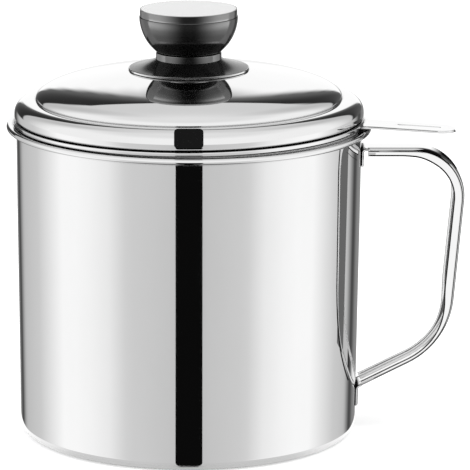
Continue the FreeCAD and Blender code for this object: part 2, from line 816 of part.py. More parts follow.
def make_knob_screw():
    body = new_body("knob_screw")
    turned(body, [
        ("zero", "screw_head_under"),
        ("screw_head_radius", "screw_head_under"),
        ("screw_head_radius", "lock_washer_under"),
        ("screw_radius", "lock_washer_under"),
        ("screw_radius", "screw_tip"),
        ("zero", "screw_tip"),
    ])
    slot_cut(body, "slot", [
        ("slot_end_back", "slot_side_back"),
        ("slot_end", "slot_side_back"),
        ("slot_end", "slot_side"),
        ("slot_end_back", "slot_side"),
    ], "screw_slot_top")
    seat(body)
    return body


def make_knob_washer():
    body = new_body("knob_washer")
    turned(body, [
        ("washer_bore", "washer_under"),
        ("washer_radius", "washer_under"),
        ("washer_radius", "washer_top"),
        ("washer_bore", "washer_top"),
    ])
    seat(body)
    return body


def make_knob_lock_washer():
    body = new_body("knob_lock_washer")
    turned(body, [
        ("washer_bore", "lock_washer_under"),
        ("lock_washer_radius", "lock_washer_under"),
        ("lock_washer_radius", "washer_under"),
        ("washer_bore", "washer_under"),
    ])
    slot_cut(body, "split", [
        ("zero", "lock_cut_side_back"),
        ("lock_cut_end", "lock_cut_side_back"),
        ("lock_cut_end", "lock_cut_side"),
        ("zero", "lock_cut_side"),
    ], "washer_under")
    seat(body)
    return body


# ---------------------------------------------------------------- build and export

def check_document():
    """Every object has recomputed and none is marked invalid."""
    for item in doc.Objects:
        if "Invalid" in item.State or "Error" in item.State:
            raise ValueError(f"{item.Name} is {item.State}")


def export(bodies):
    os.makedirs("parts", exist_ok=True)
    for body in bodies:
        shape = body.Shape
        if shape.isNull() or not shape.isValid():
            raise ValueError(f"{body.Label} has no valid shape")
        shape.exportStep(f"parts/{body.Label}.step")
        print(f"{body.Label:20s} {len(shape.Solids)} solid  {shape.Volume:12.1f} mm3")


fill_sheet()
pieces = [
    make_pot_cup(),
    make_pot_handle(),
    make_strainer_collar(),
    make_strainer_mesh(),
    make_mesh_clamp_ring(),
    make_strainer_tab(),
    make_lid_shell(),
    make_lid_skirt(),
    make_knob_base(),
    make_knob_bowl(),
    make_knob_cap(),
    make_knob_disc(),
    make_knob_insert(),
    make_knob_screw(),
    make_knob_washer(),
    make_knob_lock_washer(),
]
doc.recompute()
check_document()
export(pieces)
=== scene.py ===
"""Bacon grease container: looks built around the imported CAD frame.

Lengths in this script are millimetres until MM turns them into metres. The pot stands on z = 0 about the
z axis; the strainer and the lid share a seat frame, tipped by the tab that lies between ring and rim.
"""

import math

import bmesh
import bpy
from mathutils import Matrix, Vector


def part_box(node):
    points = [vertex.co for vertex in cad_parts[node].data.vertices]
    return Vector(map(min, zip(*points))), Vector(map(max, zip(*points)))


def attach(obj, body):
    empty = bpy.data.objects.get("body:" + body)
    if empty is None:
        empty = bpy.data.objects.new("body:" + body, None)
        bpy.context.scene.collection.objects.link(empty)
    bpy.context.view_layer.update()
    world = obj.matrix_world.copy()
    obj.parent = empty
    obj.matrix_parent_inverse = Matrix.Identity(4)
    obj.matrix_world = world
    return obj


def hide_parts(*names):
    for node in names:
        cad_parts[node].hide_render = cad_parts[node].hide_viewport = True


MM = 0.001
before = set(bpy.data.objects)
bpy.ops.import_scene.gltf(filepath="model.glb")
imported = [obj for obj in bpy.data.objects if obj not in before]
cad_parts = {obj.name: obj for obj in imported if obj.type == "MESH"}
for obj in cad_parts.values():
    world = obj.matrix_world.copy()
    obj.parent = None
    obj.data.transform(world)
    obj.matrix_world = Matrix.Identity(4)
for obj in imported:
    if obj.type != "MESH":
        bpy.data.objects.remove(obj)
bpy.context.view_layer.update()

# ------ measures taken from the frame

RIM_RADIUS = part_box("pot_cup")[1].x / MM
RIM_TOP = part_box("pot_cup")[1].z / MM
HANDLE_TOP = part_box("pot_handle")[1].z / MM
HANDLE_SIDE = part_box("pot_handle")[1].y / MM

SHEET_EDGE = 0.2

# Pot.
RIM_ROLL_WIDTH = 3.6
RIM_ROLL_HEIGHT = 2.0
POT_SHEET = 0.6
POT_RADIUS = RIM_RADIUS - RIM_ROLL_WIDTH
BASE_RADIUS = POT_RADIUS - 1.4
RIM_FOOT = RIM_TOP - RIM_ROLL_HEIGHT
BEAD_TOP = RIM_TOP - 0.45
BEAD_FOOT = RIM_TOP - 2.8
RIM_BEND = 1.1
RIM_EDGE = 0.25
RIM_GROOVE_FLOOR = RIM_TOP - 0.8
RIM_GROOVE_OUTER = POT_RADIUS + 1.2
RIM_GROOVE_INNER = POT_RADIUS + 0.15
RIM_GROOVE_BEND = 0.5
RIM_FOOT_BEND = 0.3
RIM_STEP = 0.1
BASE_CORNER = 4.0
BASE_RING_RADIUS = 48.0
BASE_RING_SLOPE = 1.6
BASE_RING_BEND = 1.2
BASE_RECESS = 0.5

# Seat frame of strainer and lid: turned about the pot's axis and tipped up on the tab's sheet.
TAB_SHEET = 1.1
TAB_TURN = math.radians(8.2)
RING_RADIUS = POT_RADIUS + 0.8
SEAT_SPAN = RING_RADIUS + POT_RADIUS
SEAT_TILT = math.asin(TAB_SHEET / SEAT_SPAN)
SEAT_HEIGHT = RIM_TOP + 0.1 + RING_RADIUS * TAB_SHEET / SEAT_SPAN
SEAT = (Matrix.Translation((0, 0, SEAT_HEIGHT)) @ Matrix.Rotation(-TAB_TURN, 4, "Z")
        @ Matrix.Rotation(-SEAT_TILT, 4, "Y"))

# Strainer, in the seat frame.
RING_HEIGHT = 0.9
RING_LIP_FOOT = -0.75
RING_LIP_SHEET = 0.45
RING_SIDE = RING_HEIGHT - 0.35
RING_FLAT = 1.8
COLLAR_MOUTH = POT_RADIUS - POT_SHEET - 1.2
COLLAR_SHEET = 0.5
COLLAR_DEPTH = 27.0
COLLAR_BEND = 3.0
MOUTH_BEND = 0.5
COLLAR_FLOOR_RADIUS = COLLAR_MOUTH - 5.2
FLOOR_LIP_RADIUS = COLLAR_FLOOR_RADIUS - 7.5
FLOOR_LIP_EDGE = 0.22
MESH_SEAT = COLLAR_SHEET - COLLAR_DEPTH
MESH_RADIUS = COLLAR_FLOOR_RADIUS - COLLAR_SHEET - 2.0
MESH_TOP = MESH_SEAT + 0.4
CLAMP_INSET = 0.5
CLAMP_WIDTH = 4.5
CLAMP_SIDE = 0.62
CLAMP_HEIGHT = 0.8
CLAMP_EDGE = 0.3
CLAMP_FOOT_EDGE = 0.1

# Tab, in the seat frame.
TAB_WIDTH = 13.0
TAB_ROOT = COLLAR_MOUTH + 0.3
TAB_REACH = RING_RADIUS + 34.6
TAB_BEND = RING_RADIUS + 3.2
TAB_DROOP = math.radians(2.7)
TAB_EDGE = 0.4
TAB_STEPS = 60
TAB_GROOVE_END = TAB_REACH - 6.4
TAB_GROOVE_START = TAB_GROOVE_END - 14.5
TAB_GROOVE_WIDTH = 1.9
TAB_GROOVE_DEPTH = 0.4

# Lid, in the seat frame.
LID_SHEET = 0.6
LID_FOOT = RING_HEIGHT + 0.05
LID_RADIUS = RING_RADIUS - 0.1
LID_EDGE = 1.4
SHOULDER_WIDTH = 8.1
SHOULDER_TOP = LID_FOOT + 7.45
SHOULDER_FOOT = LID_FOOT + 1.5
SHOULDER_POWER = 2.53
CREASE_RADIUS = LID_RADIUS - SHOULDER_WIDTH
CREASE_HEIGHT = SHOULDER_TOP + 0.22
DOME_RISE = 10.65
APEX = CREASE_HEIGHT + DOME_RISE
DOME_BREAK = 41.0
SEAT_SLOPE = 0.13
SEAT_SINK = 0.22
SKIRT_DEPTH = 6.0
SKIRT_CLEAR = 0.4
SKIRT_EDGE = 0.28
SKIRT_DRAFT = (COLLAR_MOUTH - COLLAR_FLOOR_RADIUS) / (RING_HEIGHT - MESH_SEAT)
SKIRT_FOOT = LID_FOOT - SKIRT_DEPTH
SKIRT_RADIUS = COLLAR_MOUTH - COLLAR_SHEET - SKIRT_DRAFT * (RING_HEIGHT - SKIRT_FOOT) - SKIRT_CLEAR
SCREW_HOLE = 2.2

# Knob, heights from the top of the dome.
FLANGE_RADIUS = 22.6
FLANGE_EDGE = 0.55
NECK_RADIUS = 12.3
NECK_FOOT = 3.95
NECK_TOP = 6.4
BOWL_FOOT_RADIUS = 11.7
BOWL_RADIUS = 18.5
BOWL_TOP = 20.05
BOWL_CURVE = 17.4
BOWL_EDGE = 0.15
INSERT_BORE = 3.25
SPIGOT_RADIUS = 8.0
SPIGOT_HEIGHT = 1.5
FLARE_CURVE = 34.0
CAP_RADIUS = BOWL_RADIUS - 0.25
CAP_TOP = BOWL_TOP + 2.75
DISC_RADIUS = CAP_RADIUS - 0.35
DISC_SHEET = 0.5
DISC_GAP = 0.05
DISC_SEAT = CAP_TOP - DISC_SHEET + DISC_GAP

# Handle: a channel bent from one strip, its end tabs spot welded to the pot.
STRIP_SHEET = 1.0
STRIP_EDGE = 1.6
STRIP_CROWN = 4.2
LIP_TAPER = 1.1
HANDLE_REACH = POT_RADIUS + 40.7
LOW_REACH = BASE_RADIUS + 35.5
LOW_HEIGHT = 33.6
FOOT_HEIGHT = 15.7
TOP_BEND = 19.0
LOW_BEND = 31.0
TAB_BEND_OUT = 1.6
TAB_BEND_IN = 1.2
UPPER_TAB_DROP = 7.0
LOWER_TAB_DROP = 6.0
FLANGE_CLEAR = 1.3
WRAP_START, WRAP_END = 1.1, 3.5
FLANGE_TOP_DEPTH = 3.05
FLANGE_GRIP_DEPTH = 4.3
FLANGE_BEND_DEPTH = 2.3
FLANGE_FOOT_DEPTH = 2.45
GRIP_START, GRIP_FULL = HANDLE_REACH - 26, HANDLE_REACH - 10
LOW_START, LOW_FULL = LOW_HEIGHT + 24, LOW_HEIGHT - 2
FOOT_START, FOOT_FULL = LOW_REACH - 8, LOW_REACH - 22
STATION_STEP = 1.2
FLANGE_END_STEP = 0.02

LATHE_STEPS = 288


# ------ outlines

def arc(center, radius, start, end, steps):
    """Points of an arc in degrees, both ends kept."""
    angles = [math.radians(blend(start, end, i / steps)) for i in range(steps + 1)]
    return [(center[0] + radius * math.cos(a), center[1] + radius * math.sin(a)) for a in angles]


def rounded(corners, steps=6):
    """Open outline through corners given as (x, y) or (x, y, radius of the bend there)."""
    points = []
    for index, corner in enumerate(corners):
        here = Vector(corner[:2])
        if len(corner) < 3 or index in (0, len(corners) - 1):
            points.append(tuple(here))
            continue
        back, on = ((Vector(corners[index + i][:2]) - here).normalized() for i in (-1, 1))
        half = back.angle(on) / 2
        along = corner[2] / math.tan(half)
        center = here + (back + on).normalized() * corner[2] / math.sin(half)
        first = here + back * along - center
        turn = first.angle_signed(here + on * along - center)
        count = max(3, round(steps * abs(turn) / (math.pi / 2)))
        for i in range(count + 1):
            spoke = first.copy()
            spoke.rotate(Matrix.Rotation(-turn * i / count, 2))
            points.append(tuple(center + spoke))
    return points


def closed(corners, steps=6):
    """Outline through rounded corners and back to the first, which isn't repeated."""
    return rounded(corners + corners[:1], steps)[:-1]


def bulge(start, end, radius, side, steps=24):
    """Points of an arc of a given radius between two points, its centre on the left (1) or right (-1)."""
    a = Vector(start)
    b = Vector(end)
    chord = b - a
    left = Vector((-chord.y, chord.x)).normalized() * side
    center = (a + b) / 2 + left * math.sqrt(radius ** 2 - (chord.length / 2) ** 2)
    first = math.degrees(math.atan2(a.y - center.y, a.x - center.x))
    last = math.degrees(math.atan2(b.y - center.y, b.x - center.x))
    span = (last - first + 180) % 360 - 180
    return arc(center, radius, first, first + span, steps)


def quarter(center, across, rise, power, steps):
    """Quarter of a superellipse from its widest point up to its top."""
    points = []
    for i in range(steps + 1):
        a = math.pi / 2 * i / steps
        points.append((center[0] + across * max(math.cos(a), 0) ** (2 / power),
                       center[1] + rise * math.sin(a) ** (2 / power)))
    return points


def smooth(low, high, value):
    t = min(max((value - low) / (high - low), 0), 1)
    return t * t * (3 - 2 * t)


def blend(first, second, share):
    return first + (second - first) * share


# ------ meshes

def add_object(name, data):
    thing = bpy.data.objects.new(name, data)
    bpy.context.scene.collection.objects.link(thing)
    return thing


def finish_mesh(name, bm, sharp):
    bmesh.ops.recalc_face_normals(bm, faces=bm.faces)
    mesh = bpy.data.meshes.new(name)
    bm.to_mesh(mesh)
    bm.free()
    mesh.polygons.foreach_set("use_smooth", [True] * len(mesh.polygons))
    mesh.set_sharp_from_angle(angle=math.radians(sharp))
    return add_object(name, mesh)


def loft(name, rings, closed_way=False, caps=False, sharp=32):
    """Skin closed rings of (x, y, z) points in mm; a ring of one point is a pole."""
    bm = bmesh.new()
    made = [[bm.verts.new(Vector(p) * MM) for p in ring] for ring in rings]
    pairs = list(zip(made, made[1:]))
    if closed_way:
        pairs.append((made[-1], made[0]))
    for a, b in pairs:
        count = max(len(a), len(b))
        if count == 1:
            continue
        for i in range(count):
            j = (i + 1) % count
            corners = [a[i % len(a)], a[j % len(a)], b[j % len(b)], b[i % len(b)]]
            bm.faces.new(list(dict.fromkeys(corners)))
    if caps:
        bm.faces.new(made[0][::-1])
        bm.faces.new(made[-1])
    return finish_mesh(name, bm, sharp)


def lathe(name, outline, seated=True):
    """Turn an outline of (radius, height) about the axis; one that starts off the axis closes on itself."""
    place = SEAT if seated else Matrix.Identity(4)
    rings = []
    for radius, height in outline:
        if radius < 1e-6:
            rings.append([place @ Vector((0, 0, height))])
            continue
        angles = [math.tau * i / LATHE_STEPS for i in range(LATHE_STEPS)]
        rings.append([place @ Vector((radius * math.cos(a), radius * math.sin(a), height)) for a in angles])
    return loft(name, rings, closed_way=len(rings[0]) > 1)


def place_piece(piece, body, material, node):
    piece.data.materials.append(material)
    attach(piece, body)
    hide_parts(node)


# ------ materials

class Finish:
    """A procedural material, its patterns laid out in the object's own coordinates, in metres."""

    def __init__(self, name, color, metallic):
        self.material = bpy.data.materials.new(name)
        self.material.use_nodes = True
        self.nodes = self.material.node_tree.nodes
        self.links = self.material.node_tree.links
        self.inputs = self.nodes["Principled BSDF"].inputs
        self.inputs["Base Color"].default_value = (*color, 1)
        self.inputs["Metallic"].default_value = metallic

    def node(self, kind, **values):
        """New node, its inputs set by name, with _ for a space."""
        node = self.nodes.new("ShaderNode" + kind)
        for name, value in values.items():
            node.inputs[name.replace("_", " ")].default_value = value
        return node

    def feed(self, name, source):
        """Lead a pattern into one of the shader's inputs."""
        self.links.new(source, self.inputs[name])

    def coordinates(self, stretch=(1, 1, 1), middle=(0, 0, 0)):
        texture = self.node("TexCoord")
        mapping = self.node("Mapping", Location=-Vector(middle), Scale=stretch)
        self.links.new(texture.outputs["Object"], mapping.inputs["Vector"])
        return mapping.outputs["Vector"]

    def noise(self, scale, detail, stretch=(1, 1, 1), rough=0.5):
        noise = self.node("TexNoise", Scale=scale, Detail=detail, Roughness=rough)
        self.links.new(self.coordinates(stretch), noise.inputs["Vector"])
        return noise.outputs["Fac"]

    def ranged(self, source, low, high, start=0.3, end=0.7):
        """Map a pattern from start to end onto a range of values."""
        ranger = self.node("MapRange", From_Min=start, From_Max=end, To_Min=low, To_Max=high)
        self.links.new(source, ranger.inputs["Value"])
        return ranger.outputs["Result"]

    def combined(self, operation, first, second):
        step = self.node("Math")
        step.operation = operation
        self.links.new(first, step.inputs[0])
        self.links.new(second, step.inputs[1])
        return step.outputs["Value"]

    def two_tone(self, pattern, first, second):
        """Colour that runs from a first to a second with a 0-1 pattern."""
        tint = self.node("Mix")
        tint.data_type = "RGBA"
        tint.inputs["A"].default_value = (*first, 1)
        tint.inputs["B"].default_value = (*second, 1)
        self.links.new(pattern, tint.inputs["Factor"])
        return tint

    def bumps(self, *heights):
        """Chain bumps of (pattern, depth in metres) onto the shader's normal."""
        normal = None
        for source, depth in heights:
            bump = self.node("Bump", Strength=1.0, Distance=depth)
            self.links.new(source, bump.inputs["Height"])
            if normal:
                self.links.new(normal, bump.inputs["Normal"])
            normal = bump.outputs["Normal"]
        self.feed("Normal", normal)


# Painted crevice shade, in metres: how near the facing sheet is in a crevice, and the heights between which
# the painted shade sets in.
CREVICE_REACH = 0.0024
CREVICE_SHADE_START, CREVICE_SHADE_FULL = 0.005, 0.009


def polished_steel():
    """Mirror steel: faint waves of the sheet, polishing lines, smudges, and painted shade in the upper
    crevices, where the base colour goes near black.
    """
    clean, worn, crevice_shade_color = (0.80, 0.80, 0.802), (0.78, 0.78, 0.78), (0.02, 0.02, 0.02)
    steel = Finish("polished_steel", clean, 1.0)
    smudges = steel.noise(34, 4, (1, 1, 0.6), 0.62)
    tint = steel.two_tone(steel.ranged(smudges, 0, 1), clean, worn)
    # Painted shade: where the AO node finds a facing sheet close by, above the foot, the base colour turns
    # near black and the steel duller.
    hollow = steel.node("AmbientOcclusion", Distance=CREVICE_REACH)
    hollow.samples = 8
    height = steel.node("SeparateXYZ")
    steel.links.new(steel.coordinates(), height.inputs["Vector"])
    crevice = steel.ranged(hollow.outputs["AO"], 1, 0, 0.38, 0.72)
    upper = steel.ranged(height.outputs["Z"], 0, 1, CREVICE_SHADE_START, CREVICE_SHADE_FULL)
    painted_crevice_shade = steel.combined("MULTIPLY", crevice, upper)
    shaded_tint = steel.two_tone(painted_crevice_shade, clean, crevice_shade_color)
    steel.links.new(tint.outputs["Result"], shaded_tint.inputs["A"])
    steel.feed("Base Color", shaded_tint.outputs["Result"])
    dull = steel.combined("MAXIMUM", steel.ranged(smudges, 0.02, 0.04), steel.ranged(painted_crevice_shade, 0, 0.5, 0, 1))
    steel.feed("Roughness", dull)
    waves = steel.noise(22, 1)
    lines = steel.noise(900, 3, (0.06, 0.06, 1))
    steel.bumps((waves, 0.000015), (lines, 0.0000012))
    return steel.material


def satin_steel():
    """Brushed steel with fine turned lines."""
    steel = Finish("satin_steel", (0.80, 0.80, 0.80), 1.0)
    steel.inputs["Anisotropic"].default_value = 0.6
    cloud = steel.noise(60, 5)
    steel.feed("Roughness", steel.ranged(cloud, 0.24, 0.36))
    lines = steel.noise(1500, 4, (0.1, 0.1, 1))
    steel.bumps((lines, 0.000006))
    return steel.material


def spun_steel(middle, radius):
    """Steel disc turned on a lathe: fine rings about its own middle."""
    steel = Finish("spun_steel", (0.70, 0.70, 0.70), 1.0)
    rings = steel.node("TexWave", Scale=7.2 / radius, Distortion=1.5, Detail=6, Detail_Scale=4)
    rings.wave_type = "RINGS"
    rings.rings_direction = "SPHERICAL"
    steel.links.new(steel.coordinates(middle=middle), rings.inputs["Vector"])
    steel.feed("Roughness", steel.ranged(rings.outputs["Fac"], 0.2, 0.3, 0, 1))
    steel.bumps((rings.outputs["Fac"], 0.000008))
    return steel.material


def black_plastic(name, index):
    """Moulded phenolic: near black, glossy, with a faint orange peel and cloudy patches."""
    dark, light = (0.002, 0.002, 0.002), (0.005, 0.005, 0.005)
    plastic = Finish(name, dark, 0.0)
    cloud = plastic.noise(90, 5)
    tint = plastic.two_tone(cloud, dark, light)
    plastic.feed("Base Color", tint.outputs["Result"])
    plastic.inputs["IOR"].default_value = index
    plastic.feed("Roughness", plastic.ranged(cloud, 0.12, 0.2))
    peel = plastic.noise(1300, 2)
    plastic.bumps((peel, 0.000006))
    return plastic.material


def turned_metal(name, color, rough):
    """Turned metal with machining lines and dull patches."""
    metal = Finish(name, color, 1.0)
    cloud = metal.noise(400, 4)
    metal.feed("Roughness", metal.ranged(cloud, rough * 0.8, rough * 1.3))
    lines = metal.noise(3000, 2, (0.2, 0.2, 1))
    metal.bumps((lines, 0.00001))
    return metal.material


STEEL = polished_steel()
SATIN = satin_steel()
BOWL_PLASTIC = black_plastic("bowl_plastic", 1.95)
FOOT_PLASTIC = black_plastic("foot_plastic", 1.4)
BAND = turned_metal("dark_band", (0.25, 0.25, 0.25), 0.14)
EDGE = turned_metal("bright_edge", (0.62, 0.62, 0.62), 0.16)
INSIDE = turned_metal("brushed_inside", (0.78, 0.78, 0.78), 0.42)
BRASS = turned_metal("insert_brass", (0.72, 0.55, 0.27), 0.3)
ZINC = turned_metal("zinc_steel", (0.66, 0.67, 0.69), 0.35)


# ------ pot

def wall_radius(height):
    return blend(BASE_RADIUS, POT_RADIUS, height / RIM_FOOT)


def make_pot_body():
    """Pressed cup, brushed inside, with a drafted wall, a recessed base and a rim rolled outwards."""
    outline = rounded([
        (0, BASE_RECESS),
        (BASE_RING_RADIUS - BASE_RING_SLOPE, BASE_RECESS, BASE_RING_BEND),
        (BASE_RING_RADIUS, 0, BASE_RING_BEND),
        (BASE_RADIUS, 0, BASE_CORNER),
        (wall_radius(BEAD_FOOT), BEAD_FOOT, RIM_FOOT_BEND),
        (RIM_RADIUS, BEAD_FOOT, RIM_BEND),
        (RIM_RADIUS, BEAD_TOP, RIM_BEND),
        (RIM_GROOVE_OUTER, RIM_GROOVE_FLOOR, RIM_GROOVE_BEND),
        (RIM_GROOVE_INNER, RIM_GROOVE_FLOOR, SHEET_EDGE),
        (POT_RADIUS + RIM_STEP, RIM_TOP, RIM_EDGE),
        (POT_RADIUS - POT_SHEET, RIM_TOP, RIM_EDGE),
        (BASE_RADIUS - POT_SHEET, POT_SHEET, BASE_CORNER - POT_SHEET),
        (BASE_RING_RADIUS + POT_SHEET, POT_SHEET, BASE_RING_BEND),
        (BASE_RING_RADIUS + POT_SHEET - BASE_RING_SLOPE, POT_SHEET + BASE_RECESS, BASE_RING_BEND),
        (0, POT_SHEET + BASE_RECESS),
    ], 12)
    piece = lathe("pot_body", outline, seated=False)
    place_piece(piece, "pot", STEEL, "pot_cup")
    piece.data.materials.append(INSIDE)
    for face in piece.data.polygons:
        spot = face.center / MM
        across = math.hypot(spot.x, spot.y)
        if POT_SHEET < spot.z < RIM_TOP - 1 and across < wall_radius(spot.z) - POT_SHEET / 2:
            face.material_index = 1


def strip_section(depth):
    """Channel section as (across, depth from the outer face): rounded shoulders, rolled lips."""
    lip = STRIP_SHEET / 2
    edge = min(STRIP_EDGE, depth - lip + 0.02)
    inner = max(edge - STRIP_SHEET, 0.12)
    side = HANDLE_SIDE
    flat = side - STRIP_CROWN
    half = [(flat + STRIP_CROWN * math.sin(a), edge - edge * math.cos(a))
            for a in (math.radians(6 * i) for i in range(16))]
    taper = min(LIP_TAPER, depth - edge)
    half += [(side - lip + lip * math.cos(a), depth - taper + taper * math.sin(a))
             for a in (math.radians(15 * i) for i in range(1, 6))]
    half += arc((side - lip, depth - lip), lip, 90, 180, 5)
    half += arc((side - STRIP_SHEET - inner, STRIP_SHEET + inner), inner, 0, -90, 5)
    crown = [(flat * i / 6, 0) for i in range(6)]
    under = [((side - STRIP_SHEET - inner) * i / 6, STRIP_SHEET) for i in range(5, -1, -1)]
    right = crown + half + under
    left = [(-x, y) for x, y in right[::-1] if x > 1e-6]
    return right + left


def flange_depth(x, z):
    """Depth of the channel, web and all, at a place along the strip."""
    if wall_gap(x, z) < 0:
        return STRIP_SHEET
    grip = smooth(GRIP_START, GRIP_FULL, x)
    low = smooth(LOW_START, LOW_FULL, z)
    depth = blend(FLANGE_TOP_DEPTH, FLANGE_GRIP_DEPTH, grip)
    if low <= 0:
        return depth
    foot = smooth(FOOT_START, FOOT_FULL, x)
    return blend(FLANGE_GRIP_DEPTH, blend(FLANGE_BEND_DEPTH, FLANGE_FOOT_DEPTH, foot), low)


def handle_path():
    """Line of the strip's outer face from the upper weld tab round to the lower one, evenly divided."""
    top_wall = wall_radius(HANDLE_TOP)
    upper_end = HANDLE_TOP - UPPER_TAB_DROP
    slope = (LOW_HEIGHT - FOOT_HEIGHT) / (LOW_REACH - BASE_RADIUS)
    low_face = wall_radius(FOOT_HEIGHT) + STRIP_SHEET
    low_corner = LOW_HEIGHT - slope * (LOW_REACH - low_face)
    lower_end = FOOT_HEIGHT - LOWER_TAB_DROP
    corners = rounded([
        (wall_radius(upper_end), upper_end),
        (top_wall, HANDLE_TOP, TAB_BEND_OUT),
        (HANDLE_REACH, HANDLE_TOP, TOP_BEND),
        (LOW_REACH, LOW_HEIGHT, LOW_BEND),
        (low_face, low_corner, TAB_BEND_IN),
        (wall_radius(lower_end) + STRIP_SHEET, lower_end),
    ], 40)
    stations = []
    for a, b in zip(corners, corners[1:]):
        length = math.dist(a, b)
        count = max(1, round(length / STATION_STEP))
        stations += [tuple(Vector(a).lerp(Vector(b), i / count)) for i in range(count)]
    return stations + [corners[-1]]


def wall_gap(x, z):
    """How far a place on the strip's outer face is from where the flanges are cut back."""
    return x - wall_radius(z) - STRIP_SHEET - FLANGE_CLEAR


def split_at_wall(path):
    """Add two stations where the flanges are cut back, so that their ends are square."""
    result = [path[0]]
    for a, b in zip(path, path[1:]):
        gap_a = wall_gap(*a)
        gap_b = wall_gap(*b)
        if gap_a * gap_b < 0:
            share = gap_a / (gap_a - gap_b)
            step = FLANGE_END_STEP / math.dist(a, b)
            result += [tuple(Vector(a).lerp(Vector(b), share + s)) for s in (-step, step)]
        result.append(b)
    return result


def strip_frames(path):
    """Stations of a path, each with the direction square to it, towards the inside of the handle."""
    frames = []
    for index, here in enumerate(path):
        before = Vector(path[max(index - 1, 0)])
        after = Vector(path[min(index + 1, len(path) - 1)])
        way = (after - before).normalized()
        frames.append((Vector(here), Vector((way.y, -way.x))))
    return frames


def make_handle():
    """One strip swept along its path; the end tabs wrap onto the pot's wall."""
    rings = []
    for here, inward in strip_frames(split_at_wall(handle_path())):
        reach = wall_radius(here.y)
        wrap = 1 - smooth(reach + WRAP_START, reach + WRAP_END, here.x)
        ring = []
        for across, depth in strip_section(flange_depth(*here)):
            spot = here + inward * depth
            sag = reach - math.sqrt(reach ** 2 - across ** 2)
            ring.append((spot.x - sag * wrap, across, spot.y))
        rings.append(ring)
    piece = loft("handle_strip", rings, caps=True, sharp=40)
    place_piece(piece, "pot", STEEL, "pot_handle")


# ------ strainer

def make_strainer_body():
    """Tapered collar hung from a flat ring, its floor turned in to carry the perforated disc."""
    outline = closed([
        (FLOOR_LIP_RADIUS, MESH_SEAT - COLLAR_SHEET / 2),
        (FLOOR_LIP_RADIUS, -COLLAR_DEPTH, FLOOR_LIP_EDGE),
        (COLLAR_FLOOR_RADIUS, -COLLAR_DEPTH, COLLAR_BEND),
        (COLLAR_MOUTH, 0, MOUTH_BEND),
        (RING_RADIUS - RING_LIP_SHEET, 0, SHEET_EDGE),
        (RING_RADIUS - RING_LIP_SHEET, RING_LIP_FOOT, SHEET_EDGE),
        (RING_RADIUS, RING_LIP_FOOT, SHEET_EDGE),
        (RING_RADIUS, RING_SIDE, 0.3),
        (RING_RADIUS - RING_FLAT, RING_HEIGHT, 1.0),
        (COLLAR_MOUTH - COLLAR_SHEET, RING_HEIGHT, 0.6),
        (COLLAR_FLOOR_RADIUS - COLLAR_SHEET, MESH_SEAT, COLLAR_BEND - COLLAR_SHEET),
        (FLOOR_LIP_RADIUS, MESH_SEAT, FLOOR_LIP_EDGE),
    ], 10)
    place_piece(lathe("strainer_body", outline), "strainer", STEEL, "strainer_collar")


def make_clamp_ring():
    """Flat ring that holds the perforated disc down, crowned and with eased edges."""
    outer = MESH_RADIUS - CLAMP_INSET
    inner = outer - CLAMP_WIDTH
    middle = (outer + inner) / 2
    outline = closed([
        (middle, MESH_TOP),
        (outer, MESH_TOP, CLAMP_FOOT_EDGE),
        (outer, MESH_TOP + CLAMP_SIDE, CLAMP_EDGE),
        (middle, MESH_TOP + CLAMP_HEIGHT, 3),
        (inner, MESH_TOP + CLAMP_SIDE, CLAMP_EDGE),
        (inner, MESH_TOP, CLAMP_FOOT_EDGE),
    ])
    place_piece(lathe("mesh_clamp", outline), "strainer", SATIN, "mesh_clamp_ring")


def tab_loop(inset):
    """Plan outline of the tab, moved in by inset: square at the root, round at the tip."""
    side = TAB_WIDTH / 2 - inset
    root = TAB_ROOT + inset
    center = TAB_REACH - TAB_WIDTH / 2
    run = [blend(root, center, i / TAB_STEPS) for i in range(TAB_STEPS)]
    points = [(x, -side) for x in run]
    points += arc((center, 0), side, -90, 90, 40)
    points += [(x, side) for x in run[::-1]]
    points += [(root, side - 2 * side * i / 16) for i in range(1, 16)]
    return points


def tab_surface(x, y):
    """Height of the tab's top face, with its droop and the groove stamped along its middle."""
    past = x - TAB_BEND
    droop = (math.sqrt(past ** 2 + 4) + past) / 2 * math.tan(TAB_DROOP)
    along = min(max(x, TAB_GROOVE_START), TAB_GROOVE_END)
    off = math.hypot(x - along, y) / (TAB_GROOVE_WIDTH / 2)
    groove = TAB_GROOVE_DEPTH * (1 - smooth(0.15, 1, off))
    return -droop - groove


def make_tab():
    """Thumb tab: a tongue with eased edges, a bend line and a stamped groove."""
    insets = [TAB_EDGE * (1 - math.sin(math.radians(a))) for a in range(0, 91, 15)]
    drops = [TAB_EDGE * (1 - math.cos(math.radians(a))) for a in range(0, 91, 15)]
    side = TAB_WIDTH / 2
    inner = [0.8, 1.6, 2.6, 3.6, 4.6, 5.2] + [side - 1.2 + 0.1 * i for i in range(12)]
    top = list(zip(insets, drops[::-1])) + [(inset, 0) for inset in inner]
    levels = [(inset, -drop) for inset, drop in top[::-1]]
    levels += [(inset, drop - TAB_SHEET) for inset, drop in top]
    rings = [[SEAT @ Vector((x, y, tab_surface(x, y) + rise)) for x, y in tab_loop(inset)]
             for inset, rise in levels]
    piece = loft("thumb_tab", rings, caps=True, sharp=50)
    place_piece(piece, "strainer", STEEL, "strainer_tab")


# ------ lid

def dome_outline(radius, rise):
    """Half of the dome from the crease in to the knob: an ellipse that eases to a shallow cone."""
    points = [p for p in quarter((0, CREASE_HEIGHT), radius, rise, 2, 120) if p[0] > DOME_BREAK]
    share = DOME_BREAK / radius
    level = CREASE_HEIGHT + rise * math.sqrt(1 - share ** 2)
    slope = rise * share / radius / math.sqrt(1 - share ** 2)
    reach = DOME_BREAK - FLANGE_RADIUS
    for i in range(31):
        inward = reach * i / 30
        ease = (slope - SEAT_SLOPE) / 2 / reach * inward ** 2
        points.append((DOME_BREAK - inward, level + slope * inward - ease))
    return points


